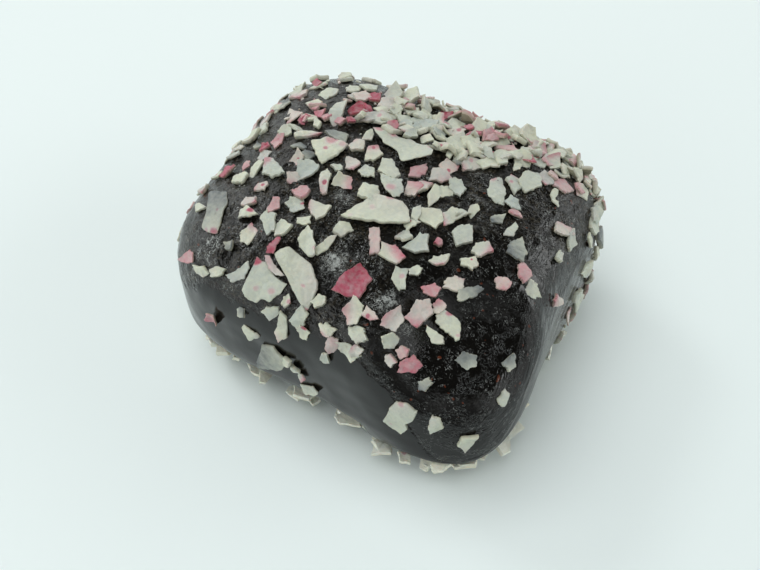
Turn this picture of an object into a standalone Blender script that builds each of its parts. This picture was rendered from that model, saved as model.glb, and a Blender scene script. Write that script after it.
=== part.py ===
"""Coconut praline: a hand-dipped block of dark chocolate, strewn with thin shards of dried coconut.

Units are metres and +Z is up.  The origin is the middle of the flat base.  The long side runs along X,
and the front, which carries the fewest shards, faces -Y.  The block and its shards are one solid.
"""

import math

import bmesh
import bpy
import numpy as np

MM = 0.001
UP = np.array((0.0, 0.0, 1.0))

# Block: half of its length, width and height before the flat base is cut, and how square it is.
HALF_LENGTH = 16.0 * MM
HALF_WIDTH = 14.2 * MM
HALF_HEIGHT = 9.1 * MM
PLAN_POWER = 4.3
PROFILE_POWER = 3.3
BASE_SHARE = 0.92
BASE_DEPTH = BASE_SHARE * HALF_HEIGHT
HALF_SIZE = np.array((HALF_LENGTH, HALF_WIDTH, HALF_HEIGHT))

# The dipped coating is uneven: hollows in the sides and swells at the corners, as shares of the
# radius, each at its bearing in degrees, and a top that climbs a little towards +X.
HOLLOWS = ((-90.0, 0.031), (0.0, 0.029), (90.0, 0.058))
SWELLS = ((-45.0, 0.042), (45.0, -0.026), (135.0, 0.003), (-135.0, -0.035))
SWELL_SPREAD = 0.42
TOP_CLIMB = 0.25 * MM

# Under the front side the coating tucks in below a lip.
LIP_HEIGHT = 5.6 * MM
LIP_DEPTH = 0.7 * MM
LIP_BLEND = 1.2 * MM
LIP_MIDDLE = -3.5 * MM
LIP_REACH = 9.5 * MM
LIP_FADE = 2.0 * MM

# The coating ran out into a low foot: its height, and how far it spreads as a share of the radius.
SPREAD_HEIGHT = 2.4 * MM
SPREAD_SHARE = 0.09

BODY_DIVISIONS = 15
GRADIENT_STEP = 0.05 * MM

# Faces of the enclosing box: the outward axis, and the two axes that a place on it is measured along.
FACES = {
    "top": ((0, 0, 1), (1, 0, 0), (0, 1, 0)),
    "front": ((0, -1, 0), (1, 0, 0), (0, 0, 1)),
    "right": ((1, 0, 0), (0, 1, 0), (0, 0, 1)),
    "back": ((0, 1, 0), (-1, 0, 0), (0, 0, 1)),
    "left": ((-1, 0, 0), (0, -1, 0), (0, 0, 1)),
}

# The largest shards, drawn corner by corner: the face, how far the shard is raised by what it lies
# on, and its corners (across, up: from the middle on the top, from the floor on a side), all in
# millimetres.
DRAWN_SHARDS = (
    ("top", 0.1, ((-1.5, -5.4), (-0.9, -3.3), (-0.3, -2.0), (0.7, -1.7), (1.8, -1.5), (2.9, -2.1),
                  (3.5, -3.3), (2.5, -4.1), (0.8, -5.0), (-0.4, -5.4))),
    ("top", 0.0, ((-4.8, -10.6), (-5.2, -11.4), (-4.5, -12.4), (-3.5, -13.6), (-2.5, -15.1),
                  (-1.2, -17.2), (-0.4, -18.2), (-0.1, -17.4), (0.0, -13.8), (-0.4, -12.5),
                  (-1.5, -10.9), (-4.0, -10.0))),
    ("top", 0.3, ((-4.1, 4.5), (-2.9, 5.0), (-1.9, 4.7), (-0.7, 5.1), (1.0, 4.7), (2.0, 3.9),
                  (2.0, 3.3), (0.8, 2.8), (-0.1, 2.2), (-1.2, 3.2), (-2.5, 3.3))),
    ("top", 0.0, ((-17.5, -8.3), (-13.6, -7.3), (-12.5, -8.5), (-12.2, -11.1), (-12.3, -12.7),
                  (-14.2, -13.3), (-15.6, -13.2), (-15.5, -10.9))),
    ("top", 0.0, ((9.7, -9.1), (10.4, -9.2), (11.6, -9.6), (12.7, -11.0), (13.1, -11.7), (12.9, -12.0),
                  (12.4, -11.6), (11.4, -11.4), (10.0, -10.7), (9.5, -10.0))),
    ("top", 0.45, ((-3.3, -7.4), (-2.6, -7.9), (-1.9, -8.9), (-1.5, -9.8), (-1.2, -10.3),
                   (-1.9, -10.6), (-3.1, -9.8), (-3.5, -9.4), (-3.5, -8.4))),
    ("top", 0.0, ((2.1, -8.5), (3.7, -9.4), (3.8, -12.1), (2.6, -13.0), (1.5, -13.0), (1.5, -10.8))),
    ("top", 0.2, ((-8.1, 0.9), (-6.9, 1.9), (-4.8, 1.9), (-5.0, 0.7), (-5.7, -1.0), (-6.8, -0.3))),
    ("top", 0.0, ((7.1, 4.6), (7.8, 5.3), (8.7, 4.1), (9.5, 2.6), (8.6, 2.3), (7.5, 2.8))),
    ("top", 0.0, ((9.7, -7.0), (10.2, -6.3), (11.1, -5.9), (11.9, -5.9), (11.5, -6.7), (10.6, -7.9),
                  (10.1, -8.0))),
    ("top", 0.0, ((1.0, -5.2), (1.7, -4.6), (2.9, -6.8), (2.3, -7.4))),
    ("top", 0.3, ((-5.4, -9.6), (-5.0, -9.7), (-5.2, -11.7), (-5.9, -12.0), (-6.0, -11.2))),
    ("top", 0.5, ((-5.8, -12.2), (-5.3, -12.0), (-4.7, -12.8), (-3.3, -13.8), (-4.1, -14.2),
                  (-5.0, -14.0), (-5.5, -13.2))),
    ("top", 0.4, ((-0.9, 0.0), (0.3, 0.1), (1.0, 0.3), (1.7, -0.8), (1.2, -1.6), (0.1, -1.3))),
    ("top", 0.1, ((-11.4, -2.2), (-10.3, -2.0), (-8.1, -3.2), (-9.1, -4.1), (-10.3, -4.1))),
    ("top", 0.0, ((-1.9, -1.3), (-0.5, -1.0), (0.0, -1.7), (-0.1, -2.8), (-1.5, -2.8))),
    ("top", 0.1, ((-1.7, 1.8), (-0.9, 2.1), (0.6, 0.8), (0.3, 0.2), (-0.7, 0.2), (-1.3, 0.4))),
    ("front", 0.1, ((-7.5, 18.5), (-6.4, 18.4), (-4.6, 17.5), (-3.0, 17.2), (-3.0, 16.2),
                    (-3.6, 14.9), (-4.4, 14.8), (-4.8, 14.2), (-5.8, 14.3), (-6.4, 14.8),
                    (-6.7, 15.8), (-7.0, 17.3))),
    ("front", 0.0, ((7.3, 7.8), (7.9, 10.5), (8.5, 11.6), (9.4, 12.1), (10.3, 11.6), (10.1, 10.5),
                    (9.4, 9.5), (9.5, 8.6), (9.0, 7.6), (8.3, 7.6))),
    ("front", 0.0, ((-3.8, 9.9), (-2.7, 10.4), (-1.4, 9.5), (-2.0, 7.9), (-3.5, 6.7), (-4.6, 6.3),
                    (-4.4, 7.7))),
    ("front", 0.1, ((-8.7, 15.4), (-8.1, 16.3), (-8.0, 17.8), (-7.2, 17.2), (-6.9, 15.9),
                    (-7.7, 15.0))),
)

# The next largest shards, in millimetres and degrees: across, up, length, width, turn.
TOP_SHARDS = (
    (-4.6, -2.5, 2.9, 1.0, 115), (4.0, 7.6, 2.6, 2.0, 110), (13.3, -0.7, 2.6, 1.6, 110),
    (-6.5, -2.0, 2.4, 1.9, 115), (-7.0, -8.6, 2.4, 1.4, 120), (10.4, 6.4, 2.8, 2.0, 110),
    (7.1, 7.7, 2.0, 1.8, 90), (4.7, -1.8, 2.3, 2.0, 150), (-5.1, 5.6, 2.3, 1.8, 20),
    (4.0, -14.0, 2.3, 1.5, 100), (1.5, 2.1, 2.2, 1.3, 70), (7.6, -2.3, 2.2, 1.8, 100),
    (8.5, -10.4, 2.2, 1.8, 60), (-3.5, -5.4, 2.2, 1.9, 120), (-8.4, -10.6, 2.2, 1.4, 120),
    (3.7, -6.4, 2.1, 1.9, 30), (-6.6, 6.5, 2.1, 1.9, 10), (-11.6, -3.9, 2.3, 1.1, 100),
    (9.1, 5.0, 2.1, 1.6, 115), (7.3, -12.4, 2.1, 1.5, 72), (5.3, -8.1, 2.0, 1.2, 110),
    (5.0, -4.5, 2.0, 1.9, -10), (3.4, -2.0, 2.0, 0.8, 102), (5.9, -1.1, 2.0, 1.2, 100),
    (14.0, 6.8, 2.0, 0.9, 125), (-11.8, 0.2, 1.9, 1.1, 100), (15.6, -2.7, 1.9, 1.3, 110),
    (15.6, -13.9, 1.6, 1.3, 10), (-5.5, -5.8, 1.9, 1.8, 90), (10.9, -12.1, 1.9, 0.9, -28),
    (9.9, -2.8, 1.8, 1.5, 30), (9.1, -6.6, 1.8, 1.6, 30), (14.5, 9.2, 1.9, 1.5, 20),
    (-16.1, -5.0, 1.9, 1.4, 10), (-5.8, -4.5, 1.6, 1.6, 0), (-5.5, -8.8, 1.7, 1.5, 90),
    (9.3, -4.3, 1.5, 1.3, 20), (7.8, -7.9, 1.5, 1.2, 20), (13.6, -4.7, 1.5, 1.2, 20),
    (-13.0, 4.2, 1.9, 1.3, 90), (-11.2, 8.3, 1.7, 1.6, 60), (-8.0, 5.0, 3.2, 1.2, 100),
    (-4.8, 8.6, 2.4, 2.0, 60), (-9.0, 1.8, 2.4, 0.8, 42), (-2.6, 7.6, 1.8, 1.5, 60),
    (-0.9, 8.1, 2.6, 1.6, 10), (2.9, 6.8, 2.2, 1.8, 120), (2.1, 8.6, 1.9, 1.6, 40),
    (5.2, 8.1, 1.9, 1.7, 80), (3.5, 3.7, 2.0, 1.6, 150), (3.4, 2.4, 1.9, 1.2, 20),
    (6.2, 6.0, 2.1, 1.5, 20), (4.9, 5.0, 2.2, 1.5, 70), (-6.5, 2.5, 2.1, 1.2, 0),
    (7.0, 9.1, 2.2, 1.3, 10), (11.8, 8.1, 1.8, 1.6, 30), (9.9, 11.5, 1.8, 1.5, 20),
    (-17.6, 0.9, 2.0, 1.1, 40), (-16.2, 2.2, 1.5, 1.4, 0),
)
FRONT_SHARDS = (
    (-2.0, 13.3, 2.9, 1.1, 90), (4.0, 14.0, 2.5, 1.2, -5), (15.0, 8.6, 2.4, 1.3, 75),
    (11.9, 10.6, 2.3, 1.2, 80), (-0.7, 14.7, 2.2, 1.3, 80), (-14.5, 14.5, 2.0, 1.1, 40),
    (0.6, 6.5, 2.0, 1.2, 30), (9.6, 15.4, 1.9, 1.3, 50), (4.9, 15.9, 1.7, 1.4, -30),
    (-9.0, 10.0, 1.6, 1.3, 60), (-4.9, 10.7, 1.7, 1.3, 0),
)
RIGHT_SHARDS = (
    (4.5, 16.4, 2.2, 1.2, -50), (4.3, 15.2, 1.6, 1.2, 70), (-9.7, 14.9, 1.5, 1.1, 20),
    (-11.2, 12.6, 1.5, 1.2, 60),
)

# Shards round the foot lie nearly level, pressed down where the block stood to set.  Each stands out
# by a share of its smaller size.
FOOT_COUNT = 56
FOOT_HEIGHT = 1.5 * MM
FOOT_LENGTH = 1.9 * MM
FOOT_WIDTH = 1.5 * MM
FOOT_SHIFT = 0.3

# The other shards follow a seeded rule: the largest first, kept apart, dense at the back.
SEED = 4
STREWN_COUNT = 100
STREWN_TOTAL = 1000
CANDIDATES = 60000
LONGEST = 2.0 * MM
SHORTEST = 0.8 * MM
LENGTH_POWER = 1.25
LEAST_SHAPE = 0.55
SPACING_BARE = 1.25
SPACING_DENSE = 0.60
SAFE_EDGE = 2.8 * MM

# Shards lean this far at most, in degrees, and those that lean in the dense part are raised with it.
LEAN_PLACED = 18.0
LEAN_FOOT = 30.0
LEAN_BARE = 16.0
LEAN_DENSE = 58.0
RAISE_DENSE = 0.5 * MM

# One shard: its corners, how far they stray, how deep it sits, how far it stands proud, and how
# much of the block's curve a large one follows.
CORNERS = 5
ANGLE_STRAY = 0.5
RADIUS_STRAY = 0.4
TAPER_STRAY = 0.45
SINK = 0.38 * MM
PROUD = 0.34 * MM
HUG = 0.9
FLOOR_CLEARANCE = 0.12 * MM

CHOCOLATE_COLOUR = (0.012, 0.008, 0.006, 1.0)


def clear_scene():
    """Remove every object that is already in the scene."""
    for thing in list(bpy.data.objects):
        bpy.data.objects.remove(thing, do_unlink=True)


def smooth_step(low, high, value):
    """Rise smoothly from 0 at low to 1 at high."""
    share = np.clip((value - low) / (high - low), 0.0, 1.0)
    return share * share * (3.0 - 2.0 * share)


def unit(vectors):
    """Scale rows to length 1."""
    return vectors / np.linalg.norm(vectors, axis=-1, keepdims=True)


def block_surface(box_points):
    """Push points of the enclosing box onto the block.

    Each point slides along its ray from the middle to a superquadric.  The plan is then drawn in or
    out by its bearing, the top tilted, the whole raised to stand on z = 0, the foot spread and the
    lip tucked in.
    """
    share = np.abs(box_points / HALF_SIZE)
    plan = share[:, 0] ** PLAN_POWER + share[:, 1] ** PLAN_POWER
    reach = plan ** (PROFILE_POWER / PLAN_POWER) + share[:, 2] ** PROFILE_POWER
    points = box_points * (reach ** (-1.0 / PROFILE_POWER))[:, None]
    bearing = np.arctan2(points[:, 1] / HALF_WIDTH, points[:, 0] / HALF_LENGTH)
    swell = np.ones(len(points))
    for degrees, depth in HOLLOWS:
        swell -= depth * bump_at(bearing, degrees)
    for degrees, rise in SWELLS:
        swell += rise * bump_at(bearing, degrees)
    upper = np.clip(points[:, 2] / HALF_HEIGHT, 0.0, 1.0)
    points[:, 2] += TOP_CLIMB * points[:, 0] / HALF_LENGTH * upper + BASE_DEPTH
    swell += SPREAD_SHARE * smooth_step(SPREAD_HEIGHT, 0.0, points[:, 2])
    points[:, :2] *= swell[:, None]
    points[:, 1] += lip_tuck(points)
    return points


def bump_at(bearing, degrees):
    """A bell of height 1 round the given bearing."""
    away = (bearing - math.radians(degrees) + math.pi) % (2.0 * math.pi) - math.pi
    return np.exp(-((away / SWELL_SPREAD) ** 2))


def lip_tuck(points):
    """How far the front side draws back under its lip."""
    below = smooth_step(LIP_HEIGHT, LIP_HEIGHT - LIP_BLEND, points[:, 2])
    sideways = np.abs(points[:, 0] - LIP_MIDDLE)
    within = smooth_step(LIP_REACH, LIP_REACH - LIP_FADE, sideways)
    frontal = smooth_step(0.0, -HALF_WIDTH / 2.0, points[:, 1])
    return LIP_DEPTH * below * within * frontal


def box_point(face, across, up):
    """Points of one face of the box from their places on it."""
    outward, first, second = (np.array(axis, float) for axis in FACES[face])
    height = up if face == "top" else up - BASE_DEPTH
    middle = outward * HALF_SIZE
    return middle + across[:, None] * first + height[:, None] * second


def seats(face, across, up):
    """Surface points of one face with their frames: rows of along, sideways and outwards."""
    spots = box_point(face, across, up)
    here = block_surface(spots)
    first, second = (np.array(axis, float) for axis in FACES[face][1:])
    along = unit(block_surface(spots + first * GRADIENT_STEP) - here)
    rising = block_surface(spots + second * GRADIENT_STEP) - here
    outwards = unit(np.cross(along, rising))
    sideways = np.cross(outwards, along)
    return here, np.stack((along, sideways, outwards), axis=1)


def drawn_shards():
    """Seat, frame, corners in that frame and raise of each shard that is drawn corner by corner."""
    shards = []
    for face, raised, corners in DRAWN_SHARDS:
        places = np.array(corners) * MM
        middle = places.mean(axis=0)
        seat, frame = seats(face, middle[:1], middle[1:])
        points = block_surface(box_point(face, places[:, 0], places[:, 1]))
        local = (points - seat) @ frame[0].T * (1.0, 1.0, HUG)
        shards.append((seat[0], frame[0], local, raised * MM))
    return shards


def placed_shards():
    """Seats, frames and sizes (length, width, turn) of the shards that are placed one by one."""
    groups = (("top", TOP_SHARDS), ("front", FRONT_SHARDS), ("right", RIGHT_SHARDS))
    places, frames, sizes = [], [], []
    for face, shards in groups:
        table = np.array(shards, float)
        here, frame = seats(face, table[:, 0] * MM, table[:, 1] * MM)
        places.append(here)
        frames.append(frame)
        sizes.append(table[:, 2:] * (MM, MM, math.pi / 180.0))
    return np.concatenate(places), np.concatenate(frames), np.concatenate(sizes)


def foot_ring(rng):
    """Seats, level frames and sizes of the shards round the foot, strayed from an even spacing."""
    stray = rng.uniform(-1.1, 1.1, FOOT_COUNT)
    height = FOOT_HEIGHT * rng.uniform(0.3, 1.4, FOOT_COUNT)
    size = rng.uniform(0.5, 1.3, (FOOT_COUNT, 2)) * (FOOT_LENGTH, FOOT_WIDTH)
    turn = rng.uniform(0.0, math.pi, FOOT_COUNT)
    shift = FOOT_SHIFT * size.min(axis=1, keepdims=True)
    lap = (np.arange(FOOT_COUNT) + stray) / FOOT_COUNT % 1.0
    run = lap * 4.0 * (HALF_LENGTH + HALF_WIDTH)
    places, frames, sizes = [], [], []
    start = 0.0
    for face in ("front", "right", "back", "left"):
        half = HALF_LENGTH if face in ("front", "back") else HALF_WIDTH
        mine = (run >= start) & (run < start + 2.0 * half)
        here, frame = seats(face, run[mine] - start - half, height[mine])
        along = unit(frame[:, 0] * (1.0, 1.0, 0.0))
        places.append(here + shift[mine] * np.cross(along, UP))
        frames.append(np.stack((along, np.cross(UP, along), np.broadcast_to(UP, along.shape)), axis=1))
        sizes.append(np.column_stack((size[mine], turn[mine])))
        start += 2.0 * half
    return np.concatenate(places), np.concatenate(frames), np.concatenate(sizes)


def cover_share(points):
    """The share of the surface that strewn shards cover, by place.

    The back of the top is nearly hidden, less so at its left end.  The front part has only the
    shards that are placed one by one, and the sides thin out downwards.
    """
    x, y, z = (points / MM).T
    edge = 3.8 + 4.7 * smooth_step(4.0, 11.0, x)
    back = smooth_step(-0.8, 1.6, y - edge)
    top = (0.12 + 0.85 * smooth_step(-9.0, -3.0, x)) * back
    low = smooth_step(14.5, 7.0, z)
    behind = smooth_step(6.0, 13.0, y)
    leftward = smooth_step(-10.0, -15.0, x) * smooth_step(-10.0, -3.0, y)
    rightward = smooth_step(12.0, 15.5, x) * smooth_step(0.0, 9.0, y)
    side = 0.38 * np.maximum(behind, np.maximum(0.5 * leftward, 0.35 * rightward))
    return top * (1.0 - low) + side * low


def candidates(rng):
    """Places to try, drawn evenly over the box and kept by the cover that they would have."""
    areas = {"top": 4.0 * HALF_LENGTH * HALF_WIDTH}
    for face in ("front", "back"):
        areas[face] = 4.0 * HALF_LENGTH * HALF_HEIGHT
    for face in ("right", "left"):
        areas[face] = 4.0 * HALF_WIDTH * HALF_HEIGHT
    total = sum(areas.values())
    spots, frames = [], []
    for face, area in areas.items():
        count = int(CANDIDATES * area / total)
        reach = np.abs(np.array(FACES[face][1:], float) @ HALF_SIZE)
        across = rng.uniform(-reach[0], reach[0], count)
        up = rng.uniform(-reach[1], reach[1], count)
        up = up if face == "top" else up + BASE_DEPTH
        here, frame = seats(face, across, up)
        spots.append(here)
        frames.append(frame)
    spots = np.concatenate(spots)
    frames = np.concatenate(frames)
    order = rng.permutation(len(spots))
    keep = rng.uniform(0.0, 1.0, len(spots)) < cover_share(spots[order])
    keep &= spots[order][:, 2] > SAFE_EDGE
    return spots[order][keep], frames[order][keep]


def strewn_shards(rng, taken, taken_radius):
    """Seats, frames and sizes of the strewn shards, the largest first and none on another."""
    rank = (np.arange(STREWN_TOTAL) / STREWN_TOTAL) ** (1.0 / LENGTH_POWER)
    length = LONGEST + (SHORTEST - LONGEST) * rank
    width = length * rng.uniform(LEAST_SHAPE, 1.0, STREWN_TOTAL)
    turn = rng.uniform(0.0, math.pi, STREWN_TOTAL)
    spots, frames = candidates(rng)
    spacing = SPACING_BARE + (SPACING_DENSE - SPACING_BARE) * cover_share(spots)
    radius = 0.25 * (length + width)
    places, radii = list(taken), list(taken_radius)
    chosen = []
    at = 0
    for index in range(STREWN_COUNT):
        while at < len(spots):
            gap = np.linalg.norm(np.array(places) - spots[at], axis=1)
            if np.all(gap > spacing[at] * (np.array(radii) + radius[index])):
                break
            at += 1
        chosen.append(at)
        places.append(spots[at])
        radii.append(radius[index])
        at += 1
    sizes = np.column_stack((length, width, turn))[:STREWN_COUNT]
    return spots[chosen], frames[chosen], sizes


def outline(size, draw):
    """Corners of one shard in its own plane: a strayed polygon, tapered and fitted to its size."""
    steps = np.arange(CORNERS) + ANGLE_STRAY * (draw[:CORNERS] - 0.5) + draw[-1]
    angle = 2.0 * math.pi * steps / CORNERS
    radius = 1.0 - RADIUS_STRAY * draw[CORNERS:2 * CORNERS]
    x = radius * np.cos(angle)
    y = radius * np.sin(angle)
    y *= 1.0 + TAPER_STRAY * (2.0 * draw[-2] - 1.0) * x
    x = (x - x.min()) / np.ptp(x) - 0.5
    y = (y - y.min()) / np.ptp(y) - 0.5
    return np.column_stack((x * size[0], y * size[1], np.zeros(CORNERS)))


def leant_frame(frame, turn, lean, draw):
    """Turn a seat's frame about its outward axis, then lean it towards a drawn bearing."""
    along = math.cos(turn) * frame[0] + math.sin(turn) * frame[1]
    sideways = math.cos(turn) * frame[1] - math.sin(turn) * frame[0]
    bearing = 2.0 * math.pi * draw[-3]
    tip = math.cos(bearing) * along + math.sin(bearing) * sideways
    outwards = unit(frame[2] + math.tan(lean * (2.0 * draw[-4] - 1.0)) * tip)
    along = unit(along - outwards * (along @ outwards))
    return np.stack((along, np.cross(outwards, along), outwards))


def ruled_shards():
    """Seat, frame, corners in that frame and raise of each shard that has five drawn-by-lot corners."""
    rng = np.random.default_rng(SEED)
    drawn = drawn_shards()
    placed = placed_shards()
    foot = foot_ring(rng)
    drawn_seats = [seat for seat, _, _, _ in drawn]
    drawn_radii = [0.25 * np.ptp(local, axis=0)[:2].sum() for _, _, local, _ in drawn]
    known_size = np.concatenate((placed[2], foot[2]))[:, :2]
    taken = np.concatenate((drawn_seats, placed[0], foot[0]))
    taken_radius = np.concatenate((drawn_radii, 0.25 * known_size.sum(axis=1)))
    spread = strewn_shards(rng, taken, taken_radius)
    seat, frame, size = (np.concatenate(rows) for rows in zip(placed, foot, spread))
    draws = np.random.default_rng(SEED + 1).uniform(0.0, 1.0, (len(seat), 2 * CORNERS + 4))
    cover = cover_share(spread[0])
    counts = (len(placed[0]), len(foot[0]))
    lean = np.radians(np.concatenate((
        np.repeat((LEAN_PLACED, LEAN_FOOT), counts), LEAN_BARE + (LEAN_DENSE - LEAN_BARE) * cover
    )))
    raised = np.concatenate((np.zeros(sum(counts)), RAISE_DENSE * cover))
    shards = []
    for row in range(len(seat)):
        draw = draws[row]
        axes = leant_frame(frame[row], size[row, 2], lean[row], draw)
        lift = raised[row] * abs(2.0 * draw[-4] - 1.0)
        shards.append((seat[row] + lift * frame[row, 2], axes, outline(size[row], draw), 0.0))
    return shards


def add_shard(name, seat, axes, local, raised, group):
    """One shard as a closed prism, partly sunk in the block, linked to the group."""
    flat = seat + local @ axes
    rows = np.concatenate((flat - SINK * axes[2], flat + (PROUD + raised) * axes[2]))
    rows[:, 2] += max(0.0, FLOOR_CLEARANCE - rows[:, 2].min())
    count = len(local)
    turning_left = np.cross(local[:, :2], np.roll(local[:, :2], -1, axis=0)).sum() > 0.0
    lower, upper = list(range(count)), list(range(count, 2 * count))
    faces = [lower[::-1], upper]
    faces += [(i, (i + 1) % count, (i + 1) % count + count, i + count) for i in range(count)]
    faces = faces if turning_left else [tuple(face)[::-1] for face in faces]
    mesh = bpy.data.meshes.new(name)
    mesh.from_pydata(rows.tolist(), [], faces)
    if np.ptp(local[:, 2]) > 0.0:
        shape = bmesh.new()
        shape.from_mesh(mesh)
        shape.faces.ensure_lookup_table()
        bmesh.ops.triangulate(shape, faces=shape.faces[:2])
        shape.to_mesh(mesh)
        shape.free()
    shard = bpy.data.objects.new(name, mesh)
    group.objects.link(shard)


def chocolate():
    """Dark chocolate: nearly black and glossy."""
    material = bpy.data.materials.new("dark_chocolate")
    material.use_nodes = True
    shader = material.node_tree.nodes["Principled BSDF"]
    shader.inputs["Base Color"].default_value = CHOCOLATE_COLOUR
    shader.inputs["Roughness"].default_value = 0.3
    shader.inputs["Metallic"].default_value = 0.0
    return material


def make_block():
    """The chocolate block: an evenly divided box pushed onto the block's surface, cut flat below."""
    mesh = bpy.data.meshes.new("praline")
    shape = bmesh.new()
    bmesh.ops.create_cube(shape, size=2.0)
    bmesh.ops.subdivide_edges(shape, edges=shape.edges[:], cuts=BODY_DIVISIONS - 1, use_grid_fill=True)
    corners = np.array([vertex.co for vertex in shape.verts])
    points = block_surface(corners * HALF_SIZE)
    for vertex, point in zip(shape.verts, points):
        vertex.co = point
    everything = shape.verts[:] + shape.edges[:] + shape.faces[:]
    cut = bmesh.ops.bisect_plane(
        shape, geom=everything, plane_co=(0, 0, 0), plane_no=(0, 0, -1), clear_outer=True
    )
    rim = [part for part in cut["geom_cut"] if isinstance(part, bmesh.types.BMEdge)]
    bmesh.ops.contextual_create(shape, geom=rim)
    bmesh.ops.recalc_face_normals(shape, faces=shape.faces[:])
    shape.to_mesh(mesh)
    shape.free()
    block = bpy.data.objects.new("praline", mesh)
    bpy.context.scene.collection.objects.link(block)
    mesh.materials.append(chocolate())
    return block


def fuse(block, group):
    """Join the block and every object of the group by one Boolean union, then drop the group."""
    union = block.modifiers.new("shards", "BOOLEAN")
    union.operation = "UNION"
    union.operand_type = "COLLECTION"
    union.collection = group
    union.solver = "EXACT"
    bpy.context.view_layer.update()
    evaluated = block.evaluated_get(bpy.context.evaluated_depsgraph_get())
    joined = bpy.data.meshes.new_from_object(evaluated)
    block.modifiers.remove(union)
    block.data = joined
    for shard in list(group.objects):
        bpy.data.objects.remove(shard, do_unlink=True)
    bpy.data.collections.remove(group)


def keep_outer_shell(block):
    """Keep the largest connected shell, so that sealed hollows are filled and scraps dropped."""
    shape = bmesh.new()
    shape.from_mesh(block.data)
    shells = []
    unseen = set(shape.faces)
    while unseen:
        shell = {unseen.pop()}
        edge_of_search = list(shell)
        while edge_of_search:
            face = edge_of_search.pop()
            near = {other for edge in face.edges for other in edge.link_faces} & unseen
            unseen -= near
            shell |= near
            edge_of_search.extend(near)
        shells.append(shell)
    largest = max(shells, key=len)
    spare = [face for shell in shells if shell is not largest for face in shell]
    bmesh.ops.delete(shape, geom=spare, context="FACES")
    bmesh.ops.triangulate(shape, faces=shape.faces[:])
    shape.to_mesh(block.data)
    shape.free()


def main():
    """Build the block, strew the shards and fuse them into one solid."""
    clear_scene()
    block = make_block()
    group = bpy.data.collections.new("shards")
    bpy.context.scene.collection.children.link(group)
    for index, shard in enumerate(drawn_shards() + ruled_shards()):
        add_shard(f"shard_{index:03d}", *shard, group)
    fuse(block, group)
    keep_outer_shell(block)
    block.data.shade_smooth()


main()
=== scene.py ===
"""Looks of the coconut praline: its crinkled dark chocolate coating and the coconut shards strewn on it."""

import logging
import math
from dataclasses import dataclass, replace
from enum import Enum
from typing import Any, Iterable, Optional, Union

import bpy
import numpy as np
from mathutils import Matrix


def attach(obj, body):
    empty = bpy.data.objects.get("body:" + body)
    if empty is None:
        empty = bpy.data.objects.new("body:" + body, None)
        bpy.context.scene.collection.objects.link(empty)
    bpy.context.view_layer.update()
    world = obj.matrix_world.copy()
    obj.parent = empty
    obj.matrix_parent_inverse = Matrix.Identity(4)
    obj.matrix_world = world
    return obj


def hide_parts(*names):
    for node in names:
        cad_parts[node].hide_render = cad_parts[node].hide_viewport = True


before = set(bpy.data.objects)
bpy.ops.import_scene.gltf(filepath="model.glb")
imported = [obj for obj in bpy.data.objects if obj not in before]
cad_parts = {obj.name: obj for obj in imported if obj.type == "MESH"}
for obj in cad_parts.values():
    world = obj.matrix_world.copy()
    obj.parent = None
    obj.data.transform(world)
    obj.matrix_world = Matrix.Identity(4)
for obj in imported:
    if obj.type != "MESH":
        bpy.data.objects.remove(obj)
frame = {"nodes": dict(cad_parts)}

LOG = logging.getLogger("praline")
MM = 0.001
CAD_NODE = "praline"
BODY = "root"
UP = np.array((0.0, 0.0, 1.0))

Colour = tuple[float, float, float]
Corners = tuple[tuple[float, float], ...]
Span = tuple[float, float]


# ---------------------------------------------------------------------------------------- shader maths


@dataclass(frozen=True)
class Signal:
    """A shader socket that takes part in Python arithmetic."""

    graph: "ShaderGraph"
    socket: bpy.types.NodeSocket

    def __add__(self, other: "Number") -> "Signal":
        """Sum of two signals or a signal and a number."""
        return self.graph.math("ADD", self, other)

    def __sub__(self, other: "Number") -> "Signal":
        """Difference of this signal and another."""
        return self.graph.math("SUBTRACT", self, other)

    def __rsub__(self, other: "Number") -> "Signal":
        """Difference of a number and this signal."""
        return self.graph.math("SUBTRACT", other, self)

    def __mul__(self, other: "Number") -> "Signal":
        """Product of two signals or a signal and a number."""
        return self.graph.math("MULTIPLY", self, other)

    def __abs__(self) -> "Signal":
        """The signal without its sign."""
        return self.graph.math("ABSOLUTE", self)

    __radd__ = __add__
    __rmul__ = __mul__


Number = Union[float, Signal]


@dataclass(frozen=True)
class Pattern:
    """A fractal noise, and the levels between which it is made to rise from 0 to 1.

    Cell is the size of the coarsest features in metres, detail the number of finer octaves, gain
    their strength, twist how far the noise distorts itself, and lift a shift that gives another draw.
    """

    cell: float
    detail: float = 2.0
    gain: float = 0.5
    twist: float = 0.0
    lift: float = 0.0
    levels: Span = (0.0, 1.0)


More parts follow.
